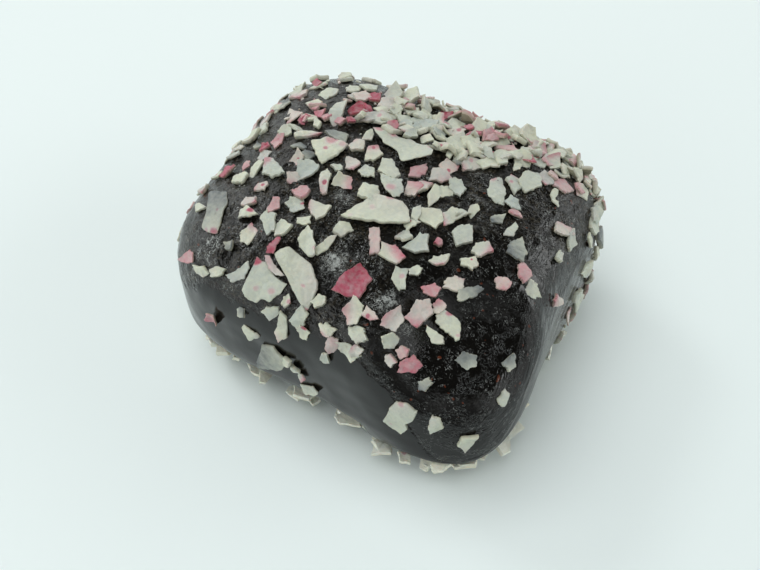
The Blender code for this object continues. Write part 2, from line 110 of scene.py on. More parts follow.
class ShaderGraph:
    """The node tree of a material or world, and the few ways in which this file adds nodes to it."""

    def __init__(self, owner: Union[bpy.types.Material, bpy.types.World]) -> None:
        """Open the tree of a new material or world."""
        owner.use_nodes = True
        self.tree = owner.node_tree

    def feed(self, socket: bpy.types.NodeSocket, value: Any) -> None:
        """Link a signal to a socket, or set the socket's own value.

        Args:
            socket: the input to feed.
            value: a signal, a number, a vector or a colour.
        """
        if isinstance(value, Signal):
            self.tree.links.new(value.socket, socket)
        elif socket.type == "RGBA":
            socket.default_value = (*value, 1.0)
        else:
            socket.default_value = value

    def feed_shader(self, name: str, sockets: dict[str, Any]) -> None:
        """Feed inputs of the shader that the tree came with.

        Args:
            name: the shader's node.
            sockets: values or signals by input name.
        """
        for key, value in sockets.items():
            self.feed(self.tree.nodes[name].inputs[key], value)

    def node(self, kind: str, output: Union[int, str], settings: dict[str, Any],
             sockets: dict[Any, Any]) -> Signal:
        """Add a node.

        Args:
            kind: the node's type.
            output: the output that is wanted, by name or index.
            settings: its attributes, set first; "stops" fills a colour ramp with (place, colour).
            sockets: values or signals by input name or index.

        Returns:
            The output.
        """
        made = self.tree.nodes.new(kind)
        for key, value in settings.items():
            if key == "stops":
                self._fill_ramp(made.color_ramp, value)
            else:
                setattr(made, key, value)
        for key, value in sockets.items():
            self.feed(made.inputs[key], value)
        return Signal(self, made.outputs[output])

    @staticmethod
    def _fill_ramp(ramp: bpy.types.ColorRamp, stops: Iterable[tuple[float, Colour]]) -> None:
        """Replace a colour ramp's stops.

        Args:
            ramp: the ramp to fill.
            stops: places from 0 to 1 with their colours.
        """
        stops = list(stops)
        while len(ramp.elements) < len(stops):
            ramp.elements.new(1.0)
        for element, (place, colour) in zip(ramp.elements, stops):
            element.position = place
            element.color = (*colour, 1.0)

    def math(self, operation: str, *values: Number) -> Signal:
        """One Math node on signals or numbers."""
        return self.node("ShaderNodeMath", 0, {"operation": operation}, dict(enumerate(values)))

    def vector(self, operation: str, *values: Any) -> Signal:
        """One Vector Math node; a length or dot product is a number, all else a vector."""
        output = "Value" if operation in ("LENGTH", "DOT_PRODUCT") else "Vector"
        return self.node("ShaderNodeVectorMath", output, {"operation": operation}, dict(enumerate(values)))

    def axis(self, vector: Signal, name: str) -> Signal:
        """One coordinate of a vector: X, Y or Z."""
        return self.node("ShaderNodeSeparateXYZ", name, {}, {0: vector})

    def clamp(self, value: Signal) -> Signal:
        """The signal held between 0 and 1."""
        return self.node("ShaderNodeClamp", "Result", {}, {"Value": value})

    def rise(self, value: Signal, low: float, high: float) -> Signal:
        """A smooth step of a signal.

        Args:
            value: the signal.
            low: where the step is 0.
            high: where it is 1.

        Returns:
            The step.
        """
        return self.node(
            "ShaderNodeMapRange", "Result",
            {"interpolation_type": "SMOOTHSTEP"},
            {"Value": value, "From Min": low, "From Max": high, "To Min": 0.0, "To Max": 1.0},
        )

    def place(self) -> Signal:
        """Object coordinates, in metres."""
        return self.node("ShaderNodeTexCoord", "Object", {}, {})

    def attribute(self, name: str, output: str = "Fac") -> Signal:
        """The value of a point attribute, as a number or with the output "Vector" as a vector."""
        return self.node("ShaderNodeAttribute", output, {"attribute_name": name}, {})

    def noise(self, place: Signal, pattern: Pattern) -> Signal:
        """A pattern's noise.

        Args:
            place: the coordinates that it reads.
            pattern: the pattern.

        Returns:
            The noise, from 0 to 1.
        """
        return self.node(
            "ShaderNodeTexNoise", "Fac", {},
            {"Vector": self.vector("ADD", place, (0.0, 0.0, pattern.lift)), "Scale": 1.0 / pattern.cell,
             "Detail": pattern.detail, "Roughness": pattern.gain, "Distortion": pattern.twist},
        )

    def patches(self, place: Signal, pattern: Pattern) -> Signal:
        """Patches of a pattern: its noise made to rise from 0 to 1 between its levels."""
        return self.rise(self.noise(place, pattern), *pattern.levels)

    def threads(self, place: Signal, pattern: Pattern) -> Signal:
        """Thin winding threads: 1 where a twisted noise crosses its middle, 0 beyond the upper level."""
        return 1.0 - self.rise(abs(self.noise(place, pattern) - 0.5), *pattern.levels)

    def mix(self, factor: Number, first: Any, second: Any) -> Signal:
        """A colour blended from first to second by a factor."""
        return self.node("ShaderNodeMix", 2, {"data_type": "RGBA"}, {0: factor, 6: first, 7: second})

    def ramp(self, value: Signal, stops: Iterable[tuple[float, Colour]]) -> Signal:
        """A colour looked up from a row of stops."""
        return self.node("ShaderNodeValToRGB", "Color", {"stops": stops}, {"Fac": value})

    def bump(self, height: Signal, distance: float, after: Optional[Signal] = None) -> Signal:
        """A normal tilted by a height field.

        Args:
            height: the height, from 0 to 1.
            distance: how high 1 stands, in metres.
            after: a normal that is tilted first.

        Returns:
            The normal.
        """
        sockets: dict[Any, Any] = {"Height": height, "Distance": distance, "Strength": 1.0}
        if after is not None:
            sockets["Normal"] = after
        return self.node("ShaderNodeBump", "Normal", {}, sockets)


# ------------------------------------------------------------------------------------------- finishes


@dataclass(frozen=True)
class ChocolateFinish:
    """Dark couverture: near black, satin on the sides, crinkled and dusty above.

    Three attributes of the mesh steer it: crinkle, where the coating is rough; grime, where brown
    dust clings and a painted sheen lightens the coating, all but at the front right corner; and
    veil, where white coconut dust lies.  The white of the dust also serves for painted glints on
    the crinkles and a painted sheen on the right side.  Round the corner point the shading leans
    by the corner slope.
    """

    deep: Colour = (0.0030, 0.0026, 0.0021)
    brown: Colour = (0.032, 0.027, 0.018)
    rust: Colour = (0.085, 0.022, 0.010)
    # White coconut dust; the same white paints glints on the crinkles and a sheen on the right side.
    dust_and_sheen: Colour = (0.42, 0.44, 0.42)
    refraction: float = 1.5
    gloss: float = 0.09
    satin: float = 0.20
    smear_dulls: float = 0.15
    dust_and_glint_dulls: float = 0.3

    ragged: Pattern = Pattern(1.1 * MM, 3.0, 0.6, lift=3.4)
    ragged_share: float = 0.9
    crinkle_levels: Span = (0.30, 0.62)
    smear_patch: Pattern = Pattern(1.3 * MM, levels=(0.38, 0.60))
    smear_least: float = 0.1
    smear_grain: Pattern = Pattern(0.24 * MM, 2.0, 0.6, 0.6, 0.3, (0.47, 0.60))
    pits: Pattern = Pattern(0.6 * MM, 1.0, lift=0.6, levels=(0.73, 0.77))
    web: Pattern = Pattern(0.30 * MM, 1.0, 0.5, 1.6, 0.2, (0.0, 0.055))
    web_patch: Pattern = Pattern(0.8 * MM, lift=0.4, levels=(0.75, 1.15))
    # Specks and threads of white on the crinkles: coconut dust and painted glints.
    specks: Pattern = Pattern(0.19 * MM, 2.0, 0.6, 1.2, 1.7, (0.60, 0.68))
    speck_patch: Pattern = Pattern(1.5 * MM, lift=2.1, levels=(0.40, 0.62))
    speck_share: float = 0.50
    speck_least: float = 0.04
    dust_and_glint_threads: Pattern = Pattern(0.42 * MM, 1.0, 0.5, 1.6, 2.6, (0.0, 0.035))
    dust_and_glint_thread_patch: Pattern = Pattern(0.3 * MM, 1.0, lift=3.0, levels=(0.50, 0.60))
    dust_and_glint_thread_share: float = 0.5
    film: Pattern = Pattern(0.4 * MM, 3.0, 0.7, lift=2.5, levels=(0.85, 1.1))
    film_pull: float = 0.85
    film_share: float = 0.75

    streaks: Pattern = Pattern(0.7 * MM, 3.0, 0.6, lift=0.9, levels=(0.42, 0.70))
    streak_slant: float = math.radians(45.0)
    streak_stretch: tuple[float, float, float] = (1.0, 1.0, 0.1)
    streak_side: Span = (12.5 * MM, 15.5 * MM)
    streak_least: float = 0.1
    streak_depth: float = 0.15 * MM
    # The right side's streaks are lightened too: fat bloom and a painted sheen.
    bloom_and_sheen_share: float = 0.36
    corner: tuple[float, float, float] = (13.0 * MM, -11.5 * MM, 7.5 * MM)
    corner_reach: Span = (2.5 * MM, 8.5 * MM)
    corner_slope: float = 0.45
    dents: Pattern = Pattern(3.2 * MM, 1.0, lift=1.9)
    dent_depth: float = 0.30 * MM
    worms: Pattern = Pattern(0.55 * MM, 1.0, 0.5, 1.6, 0.9, (0.0, 0.05))
    worm_patch: Pattern = Pattern(1.1 * MM, 1.0, lift=1.3, levels=(0.50, 0.60))
    worm_depth: float = 0.05 * MM
    fine: Pattern = Pattern(0.22 * MM, 2.0, 0.55, lift=0.7)
    fine_least: float = 0.35
    fine_depth: float = 0.075 * MM

    def build(self) -> bpy.types.Material:
        """Make the material.

        Returns:
            The chocolate material.
        """
        material = bpy.data.materials.new("dark_chocolate")
        graph = ShaderGraph(material)
        place = graph.place()
        ragged = (graph.noise(place, self.ragged) - 0.5) * self.ragged_share
        crinkle = graph.rise(graph.attribute("crinkle") + ragged, *self.crinkle_levels)
        grime = graph.attribute("grime")

        # Brown mottle: dust, and a painted sheen that leaves the front right corner black.
        patch = graph.patches(place, self.smear_patch) * (1.0 - self.smear_least) + self.smear_least
        smear = graph.patches(place, self.smear_grain) * patch * grime * crinkle
        colour = graph.mix(smear, self.deep, self.brown)
        colour = graph.mix(graph.patches(place, self.pits) * crinkle, colour, self.rust)
        # Whitened by coconut dust and by painted glints on the crinkles.
        dust_and_glints = self.dust_and_glints(graph, place, crinkle, grime)
        colour = graph.mix(dust_and_glints, colour, self.dust_and_sheen)
        roughness = self.satin - crinkle * (self.satin - self.gloss) + smear * self.smear_dulls
        roughness += dust_and_glints * self.dust_and_glint_dulls

        slanted = graph.node("ShaderNodeVectorRotate", "Vector", {"rotation_type": "X_AXIS"},
                             {"Vector": place, "Angle": self.streak_slant})
        streaks = graph.noise(graph.vector("MULTIPLY", slanted, self.streak_stretch), self.streaks)
        # Streaks lightened on the right side only: fat bloom and a painted sheen of the reflected floor.
        rightward = graph.rise(graph.axis(place, "X"), *self.streak_side)
        bloom_and_sheen = graph.rise(streaks, *self.streaks.levels) * rightward * (1.0 - crinkle)
        colour = graph.mix(bloom_and_sheen * self.bloom_and_sheen_share, colour, self.dust_and_sheen)

        normal = self.leaning(graph, place)
        normal = graph.bump(graph.noise(place, self.dents) * (1.0 - crinkle), self.dent_depth, normal)
        streaks *= rightward * (1.0 - self.streak_least) + self.streak_least
        normal = graph.bump(streaks, self.streak_depth, normal)
        worms = graph.threads(place, self.worms) * graph.patches(place, self.worm_patch) * crinkle
        normal = graph.bump(worms, self.worm_depth, normal)
        fine = graph.noise(place, self.fine) * crinkle * (grime * (1.0 - self.fine_least) + self.fine_least)
        normal = graph.bump(fine, self.fine_depth, normal)
        graph.feed_shader("Principled BSDF", {
            "Base Color": colour,
            "Roughness": graph.clamp(roughness),
            "Normal": normal,
            "IOR": self.refraction,
        })
        return material

    def dust_and_glints(self, graph: ShaderGraph, place: Signal, crinkle: Signal, grime: Signal) -> Signal:
        """Where the coating is whitened: webs and a film of white coconut dust, and specks and threads that
        are dust and painted glints, from 0 to 1.

        Args:
            graph: the material's graph.
            place: the place on the coating.
            crinkle: how rough the coating is there.
            grime: how much brown dust and painted sheen there is there.

        Returns:
            How white it is.
        """
        veil = graph.attribute("veil")
        web_patch = graph.rise(graph.noise(place, self.web_patch) + veil, *self.web_patch.levels)
        total = graph.threads(place, self.web) * web_patch
        # Specks and threads: coconut dust and painted glints.
        patch = graph.patches(place, self.speck_patch)
        specks = graph.patches(place, self.specks) * (patch * self.speck_share + self.speck_least) * grime
        dust_and_glint_threads = graph.threads(place, self.dust_and_glint_threads) * graph.patches(place, self.dust_and_glint_thread_patch) * patch
        total += (specks + dust_and_glint_threads * self.dust_and_glint_thread_share) * crinkle
        film = graph.rise(graph.noise(place, self.film) + veil * self.film_pull, *self.film.levels)
        return graph.clamp(total + film * self.film_share)

    def leaning(self, graph: ShaderGraph, place: Signal) -> Signal:
        """A normal that leans round the corner: minus the slope times the height over the corner.

        Args:
            graph: the material's graph.
            place: the place on the coating.

        Returns:
            The normal.
        """
        away = graph.vector("SUBTRACT", place, self.corner)
        level = graph.vector("LENGTH", graph.vector("MULTIPLY", away, (1.0, 1.0, 0.0)))
        near = 1.0 - graph.rise(level, *self.corner_reach)
        return graph.bump(graph.axis(away, "Z") * near * -self.corner_slope, 1.0)


@dataclass(frozen=True)
class CoconutFinish:
    """Dried coconut: ivory, stained pink to magenta.

    The stain attribute is the stain of a shard's edge or end.  The spot attributes hold a place
    relative to a spot, in spot radii, and the spot's strength.  The film attribute says where a thin
    film of chocolate greys it, the shade attribute how cool and dim the shard is, and the rim
    attribute where its edge and underside are tinted by the chocolate and darkened as painted shade.
    """

    name: str = "coconut"
    ivory: Colour = (0.61, 0.625, 0.49)
    pale: Colour = (0.63, 0.56, 0.495)
    blush: Colour = (0.57, 0.31, 0.32)
    rose: Colour = (0.45, 0.095, 0.145)
    deep: Colour = (0.31, 0.020, 0.050)
    cool: Colour = (0.38, 0.42, 0.40)
    film: Colour = (0.13, 0.145, 0.15)
    # The rim's colour: a chocolate tint that also stands for painted shade.
    olive_tint_and_shade: Colour = (0.34, 0.325, 0.23)
    roughness: float = 0.48
    scattering: float = 0.25
    scattered: Colour = (1.0, 0.75, 0.6)
    scatter_depth: float = 0.3 * MM

    stain_places: tuple[float, ...] = (0.0, 0.16, 0.38, 0.68, 0.95)
    blotches: Pattern = Pattern(0.55 * MM, 3.0, 0.6)
    blotch_gain: float = 0.9
    blotch_least: float = 0.06
    spot_levels: Span = (0.35, 1.15)
    grain: Pattern = Pattern(0.35 * MM, 3.0, 0.6, lift=0.4, levels=(0.3, 0.75))
    grain_share: float = 0.34
    shade_share: float = 0.75
    stain_hides: float = 1.3
    film_patch: Pattern = Pattern(0.5 * MM, lift=0.8)
    film_stray: float = 1.2
    lumps: Pattern = Pattern(0.45 * MM, 3.0, 0.55, lift=1.1)
    lump_depth: float = 0.15 * MM

    def build(self) -> bpy.types.Material:
        """Make the material.

        Returns:
            The coconut material.
        """
        material = bpy.data.materials.new(self.name)
        graph = ShaderGraph(material)
        place = graph.place()
        level = self.stained(graph, place)
        colours = (self.ivory, self.pale, self.blush, self.rose, self.deep)
        colour = graph.ramp(graph.clamp(level), zip(self.stain_places, colours))
        unstained = 1.0 - graph.clamp(level * self.stain_hides)
        dull = graph.attribute("shade") * self.shade_share * unstained
        dull += graph.patches(place, self.grain) * self.grain_share
        colour = graph.mix(graph.clamp(dull), colour, self.cool)
        film = graph.attribute("film")
        film += (graph.noise(place, self.film_patch) - 0.5) * film * self.film_stray
        colour = graph.mix(graph.clamp(film), colour, self.film)
        # Rim: each shard's edge and underside tinted by the chocolate and darkened as painted shade.
        colour = graph.mix(graph.clamp(graph.attribute("rim")), colour, self.olive_tint_and_shade)
        graph.feed_shader("Principled BSDF", {
            "Base Color": colour,
            "Normal": graph.bump(graph.noise(place, self.lumps), self.lump_depth),
            "Roughness": self.roughness,
            "Subsurface Weight": self.scattering,
            "Subsurface Radius": self.scattered,
            "Subsurface Scale": self.scatter_depth,
        })
        return material

    def stained(self, graph: ShaderGraph, place: Signal) -> Signal:
        """How deep the stain is: the strayed stain attribute, or a spot where that is deeper.

        Args:
            graph: the material's graph.
            place: the place on the shard.

        Returns:
            The depth, from 0 to about 1.
        """
        stain = graph.attribute("stain")
        blotch = graph.noise(place, self.blotches) - 0.5
        level = stain + blotch * (stain * self.blotch_gain + self.blotch_least)
        for name in ("spot_a", "spot_b", "spot_c"):
            spot = graph.attribute(name, "Vector")
            away = graph.vector("LENGTH", graph.vector("MULTIPLY", spot, (1.0, 1.0, 0.0)))
            inside = 1.0 - graph.rise(away + blotch, *self.spot_levels)
            level = graph.math("MAXIMUM", level, inside * graph.axis(spot, "Z"))
        return level


# A lighter copy of the coconut for the shards round the foot: painted light that lifts them out of the shade
# under the block.
BRIGHTENED_COCONUT = CoconutFinish(
    name="clean_coconut", ivory=(0.84, 0.84, 0.69), pale=(0.84, 0.78, 0.69), cool=(0.66, 0.70, 0.66),
    olive_tint_and_shade=(0.66, 0.64, 0.50),
)


@dataclass(frozen=True)
class TableFinish:
    """A plain pale board under the praline."""

    colour: Colour = (0.83, 0.90, 0.89)
    roughness: float = 0.6

    def build(self) -> bpy.types.Material:
        """Make the material.

        Returns:
            The board's material.
        """
        material = bpy.data.materials.new("pale_board")
        sockets = {"Base Color": self.colour, "Roughness": self.roughness}
        ShaderGraph(material).feed_shader("Principled BSDF", sockets)
        return material


# --------------------------------------------------------------------------------- shape of the block


def smooth_step(low: float, high: float, value: np.ndarray) -> np.ndarray:
    """Rise from 0 at low to 1 at high as 3t^2 - 2t^3 of the share t of the way."""
    share = np.clip((value - low) / (high - low), 0.0, 1.0)
    return share * share * (3.0 - 2.0 * share)


def unit(vectors: np.ndarray) -> np.ndarray:
    """Rows scaled to length 1."""
    return vectors / np.linalg.norm(vectors, axis=-1, keepdims=True)


def lattice_noise(points: np.ndarray, cell: float, seed: int) -> np.ndarray:
    """Smooth noise in space, from -1 to 1.

    Formula in words: every corner of a cubic lattice has a drawn value, and a point takes the mean of
    the eight corners of its cell, each weighted by the smooth steps of its place along the axes.

    Args:
        points: rows of coordinates, in metres.
        cell: the lattice's spacing, in metres.
        seed: picks the draw.

    Returns:
        One value for each point.
    """
    period = 61
    table = np.random.default_rng(seed).uniform(-1.0, 1.0, (period, period, period))
    scaled = points / cell
    base = np.floor(scaled).astype(int)
    share = smooth_step(0.0, 1.0, scaled - base)
    total = np.zeros(len(points))
    for corner in np.ndindex(2, 2, 2):
        weight = np.prod(np.where(corner, share, 1.0 - share), axis=1)
        index = (base + corner) % period
        total += weight * table[index[:, 0], index[:, 1], index[:, 2]]
    return total


class Face(Enum):
    """Faces of the enclosing box: the outward axis, and the two axes that places are measured along."""

    TOP = ((0, 0, 1), (1, 0, 0), (0, 1, 0))
    FRONT = ((0, -1, 0), (1, 0, 0), (0, 0, 1))
    RIGHT = ((1, 0, 0), (0, 1, 0), (0, 0, 1))
    BACK = ((0, 1, 0), (-1, 0, 0), (0, 0, 1))
    LEFT = ((-1, 0, 0), (0, -1, 0), (0, 0, 1))


@dataclass(frozen=True)
class Block:
    """The dipped block: a squared ellipsoid with uneven sides, a lip in front and a flat base.

    Sizes are in metres and repeat the solid's own driving dimensions.
    """

    half_length: float = 16.0 * MM
    half_width: float = 14.2 * MM
    half_height: float = 9.1 * MM
    plan_power: float = 4.3
    profile_power: float = 3.3
    base_share: float = 0.92
    hollows: Corners = ((-90.0, 0.031), (0.0, 0.029), (90.0, 0.058))
    swells: Corners = ((-45.0, 0.042), (45.0, -0.026), (135.0, 0.003), (-135.0, -0.035))
    swell_spread: float = 0.42
    top_climb: float = 0.25 * MM
    lip_height: float = 5.6 * MM
    lip_depth: float = 0.7 * MM
    lip_blend: float = 1.2 * MM
    lip_middle: float = -3.5 * MM
    lip_reach: float = 9.5 * MM
    lip_fade: float = 2.0 * MM
    spread_height: float = 2.4 * MM
    spread_share: float = 0.09
    gradient_step: float = 0.05 * MM

    @property
    def half_size(self) -> np.ndarray:
        """Half sizes of the enclosing box."""
        return np.array((self.half_length, self.half_width, self.half_height))

    @property
    def base_depth(self) -> float:
        """Depth of the flat base under the middle."""
        return self.base_share * self.half_height

    def bell(self, bearing: np.ndarray, degrees: float) -> np.ndarray:
        """A bell of height 1 round a bearing: e to minus the squared angle over the spread."""
        away = (bearing - math.radians(degrees) + math.pi) % (2.0 * math.pi) - math.pi
        return np.exp(-((away / self.swell_spread) ** 2))

    def surface(self, box_points: np.ndarray) -> np.ndarray:
        """Push points of the enclosing box onto the block.

        Formula in words: each point slides along its ray from the middle to the surface on which the
        plan's power sum, raised to the profile power over the plan power, plus the height's share
        raised to the profile power is 1.  The top is tilted and the whole raised so that its base is
        at height 0.  The plan is then scaled by the bells of its bearing and by the spread of the
        foot, and the lip tucked in.

        Args:
            box_points: rows of points on the box, in metres from the middle.

        Returns:
            Rows of surface points.
        """
        share = np.abs(box_points / self.half_size)
        plan = share[:, 0] ** self.plan_power + share[:, 1] ** self.plan_power
        reach = plan ** (self.profile_power / self.plan_power) + share[:, 2] ** self.profile_power
        points = box_points * (reach ** (-1.0 / self.profile_power))[:, None]
        bearing = np.arctan2(points[:, 1] / self.half_width, points[:, 0] / self.half_length)
        swell = np.ones(len(points))
        for degrees, depth in self.hollows:
            swell -= depth * self.bell(bearing, degrees)
        for degrees, rise in self.swells:
            swell += rise * self.bell(bearing, degrees)
        upper = np.clip(points[:, 2] / self.half_height, 0.0, 1.0)
        points[:, 2] += self.top_climb * points[:, 0] / self.half_length * upper + self.base_depth
        swell += self.spread_share * smooth_step(self.spread_height, 0.0, points[:, 2])
        points[:, :2] *= swell[:, None]
        points[:, 1] += self.lip_tuck(points)
        return points

    def lip_tuck(self, points: np.ndarray) -> np.ndarray:
        """How far the front draws back under its lip: the depth times three smooth steps.

        Args:
            points: rows of surface points.

        Returns:
            One distance for each point, in metres.
        """
        below = smooth_step(self.lip_height, self.lip_height - self.lip_blend, points[:, 2])
        sideways = np.abs(points[:, 0] - self.lip_middle)
        within = smooth_step(self.lip_reach, self.lip_reach - self.lip_fade, sideways)
        frontal = smooth_step(0.0, -self.half_width / 2.0, points[:, 1])
        return self.lip_depth * below * within * frontal

    def box_point(self, face: Face, across: np.ndarray, up: np.ndarray) -> np.ndarray:
        """Points of one face of the box.

        Args:
            face: the face.
            across: places along its first axis.
            up: places along its second axis, from the floor on a side.

        Returns:
            Rows of box points.
        """
        outward, first, second = (np.array(axis, float) for axis in face.value)
        height = up if face is Face.TOP else up - self.base_depth
        return outward * self.half_size + across[:, None] * first + height[:, None] * second

    def seats(self, face: Face, across: np.ndarray, up: np.ndarray) -> tuple[np.ndarray, np.ndarray]:
        """Surface points of one face of the box, and for each the rows along, sideways and outwards.

        Args:
            face: the face.
            across: places along its first axis.
            up: places along its second axis, from the floor on a side.

        Returns:
            The points and their axes.
        """
        spots = self.box_point(face, across, up)
        first, second = (np.array(axis, float) for axis in face.value[1:])
        here = self.surface(spots)
        along = unit(self.surface(spots + first * self.gradient_step) - here)
        rising = self.surface(spots + second * self.gradient_step) - here
        outwards = unit(np.cross(along, rising))
        sideways = np.cross(outwards, along)
        return here, np.stack((along, sideways, outwards), axis=1)


# ------------------------------------------------------------------------------------- mesh helpers


def make_piece(name: str, points: np.ndarray, faces: list[np.ndarray],
               attributes: dict[str, np.ndarray], material: bpy.types.Material) -> bpy.types.Object:
    """Put arrays into a mesh object.

    Args:
        name: the piece's name.
        points: rows of vertices, in metres.
        faces: arrays of vertex numbers, one row for each face, all rows of an array equally long.
        attributes: a value or a row of three for each vertex, by attribute name.
        material: the finish of the whole piece.

    Returns:
        The object, linked to the scene.
    """
    mesh = bpy.data.meshes.new(name)
    sides = np.concatenate([np.full(len(rows), rows.shape[1]) for rows in faces])
    corners = np.concatenate([rows.ravel() for rows in faces])
    mesh.vertices.add(len(points))
    mesh.vertices.foreach_set("co", points.astype(np.float32).ravel())
    mesh.loops.add(len(corners))
    mesh.loops.foreach_set("vertex_index", corners.astype(np.int32))
    mesh.polygons.add(len(sides))
    mesh.polygons.foreach_set("loop_start", np.concatenate(([0], np.cumsum(sides)[:-1])).astype(np.int32))
    mesh.update(calc_edges=True)
    for key, values in attributes.items():
        kind, field = ("FLOAT", "value") if values.ndim == 1 else ("FLOAT_VECTOR", "vector")
        layer = mesh.attributes.new(key, kind, "POINT")
        layer.data.foreach_set(field, values.astype(np.float32).ravel())
    mesh.materials.append(material)
    mesh.shade_smooth()
    piece = bpy.data.objects.new(name, mesh)
    bpy.context.scene.collection.objects.link(piece)
    return piece


# ------------------------------------------------------------------------------------- the coating


@dataclass(frozen=True)
class Coating:
    """The chocolate surface of the block, with real crinkles, as a top sheet and a skirt below it."""

    block: Block
    columns: int = 200
    rows: int = 178
    skirt_rows: int = 54
    base_rows: int = 10
    skirt_power: float = 1.45
    crinkle_heights: Span = (12.2 * MM, 15.6 * MM)
    crinkle_cell: float = 3.1 * MM
    crinkle_stray: float = 1.1 * MM
    crinkle_seed: int = 21
    right_drop: float = 1.6 * MM
    right_turn: Span = (4.0 * MM, 12.0 * MM)
    left_drop: float = 3.0 * MM
    left_turn: Span = (-6.0 * MM, -13.0 * MM)
    corner: Span = (13.5 * MM, -12.0 * MM)
    corner_drop: float = 7.5 * MM
    corner_reach: Span = (7.5 * MM, 1.5 * MM)
    # Where the brown dust and painted sheen are least, and how far out they fade in.
    clean_spot: Span = (13.0 * MM, -9.0 * MM)
    darkest_reach: Span = (6.0 * MM, 13.0 * MM)
    least_grime_and_sheen: float = 0.06
    darkest_relief: float = 0.45
    folds: Corners = ((2.6 * MM, 0.075 * MM), (1.1 * MM, 0.055 * MM), (0.55 * MM, 0.035 * MM))
    fold_crest: float = 2.2
    fold_seed: int = 31
    waves: Corners = ((4.5 * MM, 0.10 * MM), (1.8 * MM, 0.03 * MM))
    wave_stretch: tuple[float, float, float] = (1.0, 1.0, 0.6)
    wave_seed: int = 41
    foot_fade: Span = (0.2 * MM, 2.5 * MM)
    normal_power: float = 2.4
    dust_heights: Span = (10.0 * MM, 13.0 * MM)
    dusty: tuple[tuple[float, float, float, float], ...] = (
        (0.0, -8.6, 1.5, 0.60), (5.2, -9.9, 1.5, 0.55), (-6.0, -10.6, 1.3, 0.38), (-2.4, -3.2, 1.3, 0.42),
        (8.6, 0.0, 1.6, 0.35), (-10.0, -11.0, 2.0, 0.45), (7.4, -11.1, 0.9, 0.45), (-11.5, -13.0, 1.6, 0.40),
        (-15.5, -6.5, 1.5, 0.30), (7.3, 2.6, 1.5, 0.30),
    )

    def box_grid(self) -> tuple[np.ndarray, list[np.ndarray]]:
        """Points of the enclosing box and the faces between them.

        Formula in words: the top sheet is an even grid of the box's top.  The skirt hangs from the
        sheet's rim: its rows go down the sides, closer near the shoulder by a power of the share, and
        then shrink inwards under the base to a single point.

        Returns:
            Rows of box points, and quads and the closing triangles.
        """
        size = self.block.half_size
        x = np.linspace(-size[0], size[0], self.columns + 1)
        y = np.linspace(-size[1], size[1], self.rows + 1)
        sheet_x, sheet_y = np.meshgrid(x, y)
        sheet = np.stack((sheet_x, sheet_y, np.full_like(sheet_x, size[2])), axis=-1)
        number = np.arange(sheet_x.size).reshape(sheet_x.shape)
        quads = np.stack(
            (number[:-1, :-1], number[:-1, 1:], number[1:, 1:], number[1:, :-1]), axis=-1
        ).reshape(-1, 4)
        rim = np.concatenate((number[0, :-1], number[:-1, -1], number[-1, :0:-1], number[:0:-1, 0]))
        rim_points = sheet.reshape(-1, 3)[rim]

        drop = (np.arange(1, self.skirt_rows + 1) / self.skirt_rows) ** self.skirt_power
        skirt = np.repeat(rim_points[None], self.skirt_rows, axis=0)
        skirt[:, :, 2] = (size[2] - 2.0 * size[2] * drop)[:, None]
        shrink = 1.0 - np.arange(1, self.base_rows + 1) / (self.base_rows + 1.0)
        under = np.repeat(rim_points[None], self.base_rows, axis=0)
        under[:, :, :2] *= shrink[:, None, None]
        under[:, :, 2] = -size[2]
        pole = np.array(((0.0, 0.0, -size[2]),))

        points = np.concatenate((sheet.reshape(-1, 3), skirt.reshape(-1, 3), under.reshape(-1, 3), pole))
        ring_count = self.skirt_rows + self.base_rows
        rings = number.size + np.arange(ring_count * len(rim)).reshape(ring_count, len(rim))
        rings = np.concatenate((rim[None], rings))
        after = np.roll(rings, -1, axis=1)
        bands = np.stack((rings[:-1], rings[1:], after[1:], after[:-1]), axis=-1).reshape(-1, 4)
        last = np.full(len(rim), len(points) - 1)
        fan = np.stack((rings[-1], last, after[-1]), axis=-1)
        return points, [np.concatenate((quads, bands)), fan]

    def crinkle(self, points: np.ndarray) -> np.ndarray:
        """How rough the coating is: a smooth step of the height, strayed by noise.

        Towards the right and the left, and most at the front right corner, it is rough lower down too.

        Args:
            points: rows of surface points.

        Returns:
            One share for each point.
        """
        x, y, z = points.T
        stray = self.crinkle_stray * lattice_noise(points, self.crinkle_cell, self.crinkle_seed)
        stray += self.right_drop * smooth_step(*self.right_turn, x)
        stray += self.left_drop * smooth_step(*self.left_turn, x)
        away = np.hypot(x - self.corner[0], y - self.corner[1])
        stray += self.corner_drop * smooth_step(*self.corner_reach, away)
        return smooth_step(*self.crinkle_heights, z + stray)

    def grime(self, points: np.ndarray) -> np.ndarray:
        """Where brown dust clings and a painted sheen lightens the coating: all over but for the front right
        corner, by distance from it.
        """
        away = np.hypot(points[:, 0] - self.clean_spot[0], points[:, 1] - self.clean_spot[1])
        return self.least_grime_and_sheen + (1.0 - self.least_grime_and_sheen) * smooth_step(*self.darkest_reach, away)

    def veil(self, points: np.ndarray) -> np.ndarray:
        """Where white coconut dust lies: the highest of a few bells on the upper side.

        Args:
            points: rows of surface points.

        Returns:
            One share for each point.
        """
        total = np.zeros(len(points))
        for x, y, spread, amount in self.dusty:
            away = np.hypot(points[:, 0] - x * MM, points[:, 1] - y * MM)
            total = np.maximum(total, amount * np.exp(-((away / (spread * MM)) ** 2)))
        return total * smooth_step(*self.dust_heights, points[:, 2])

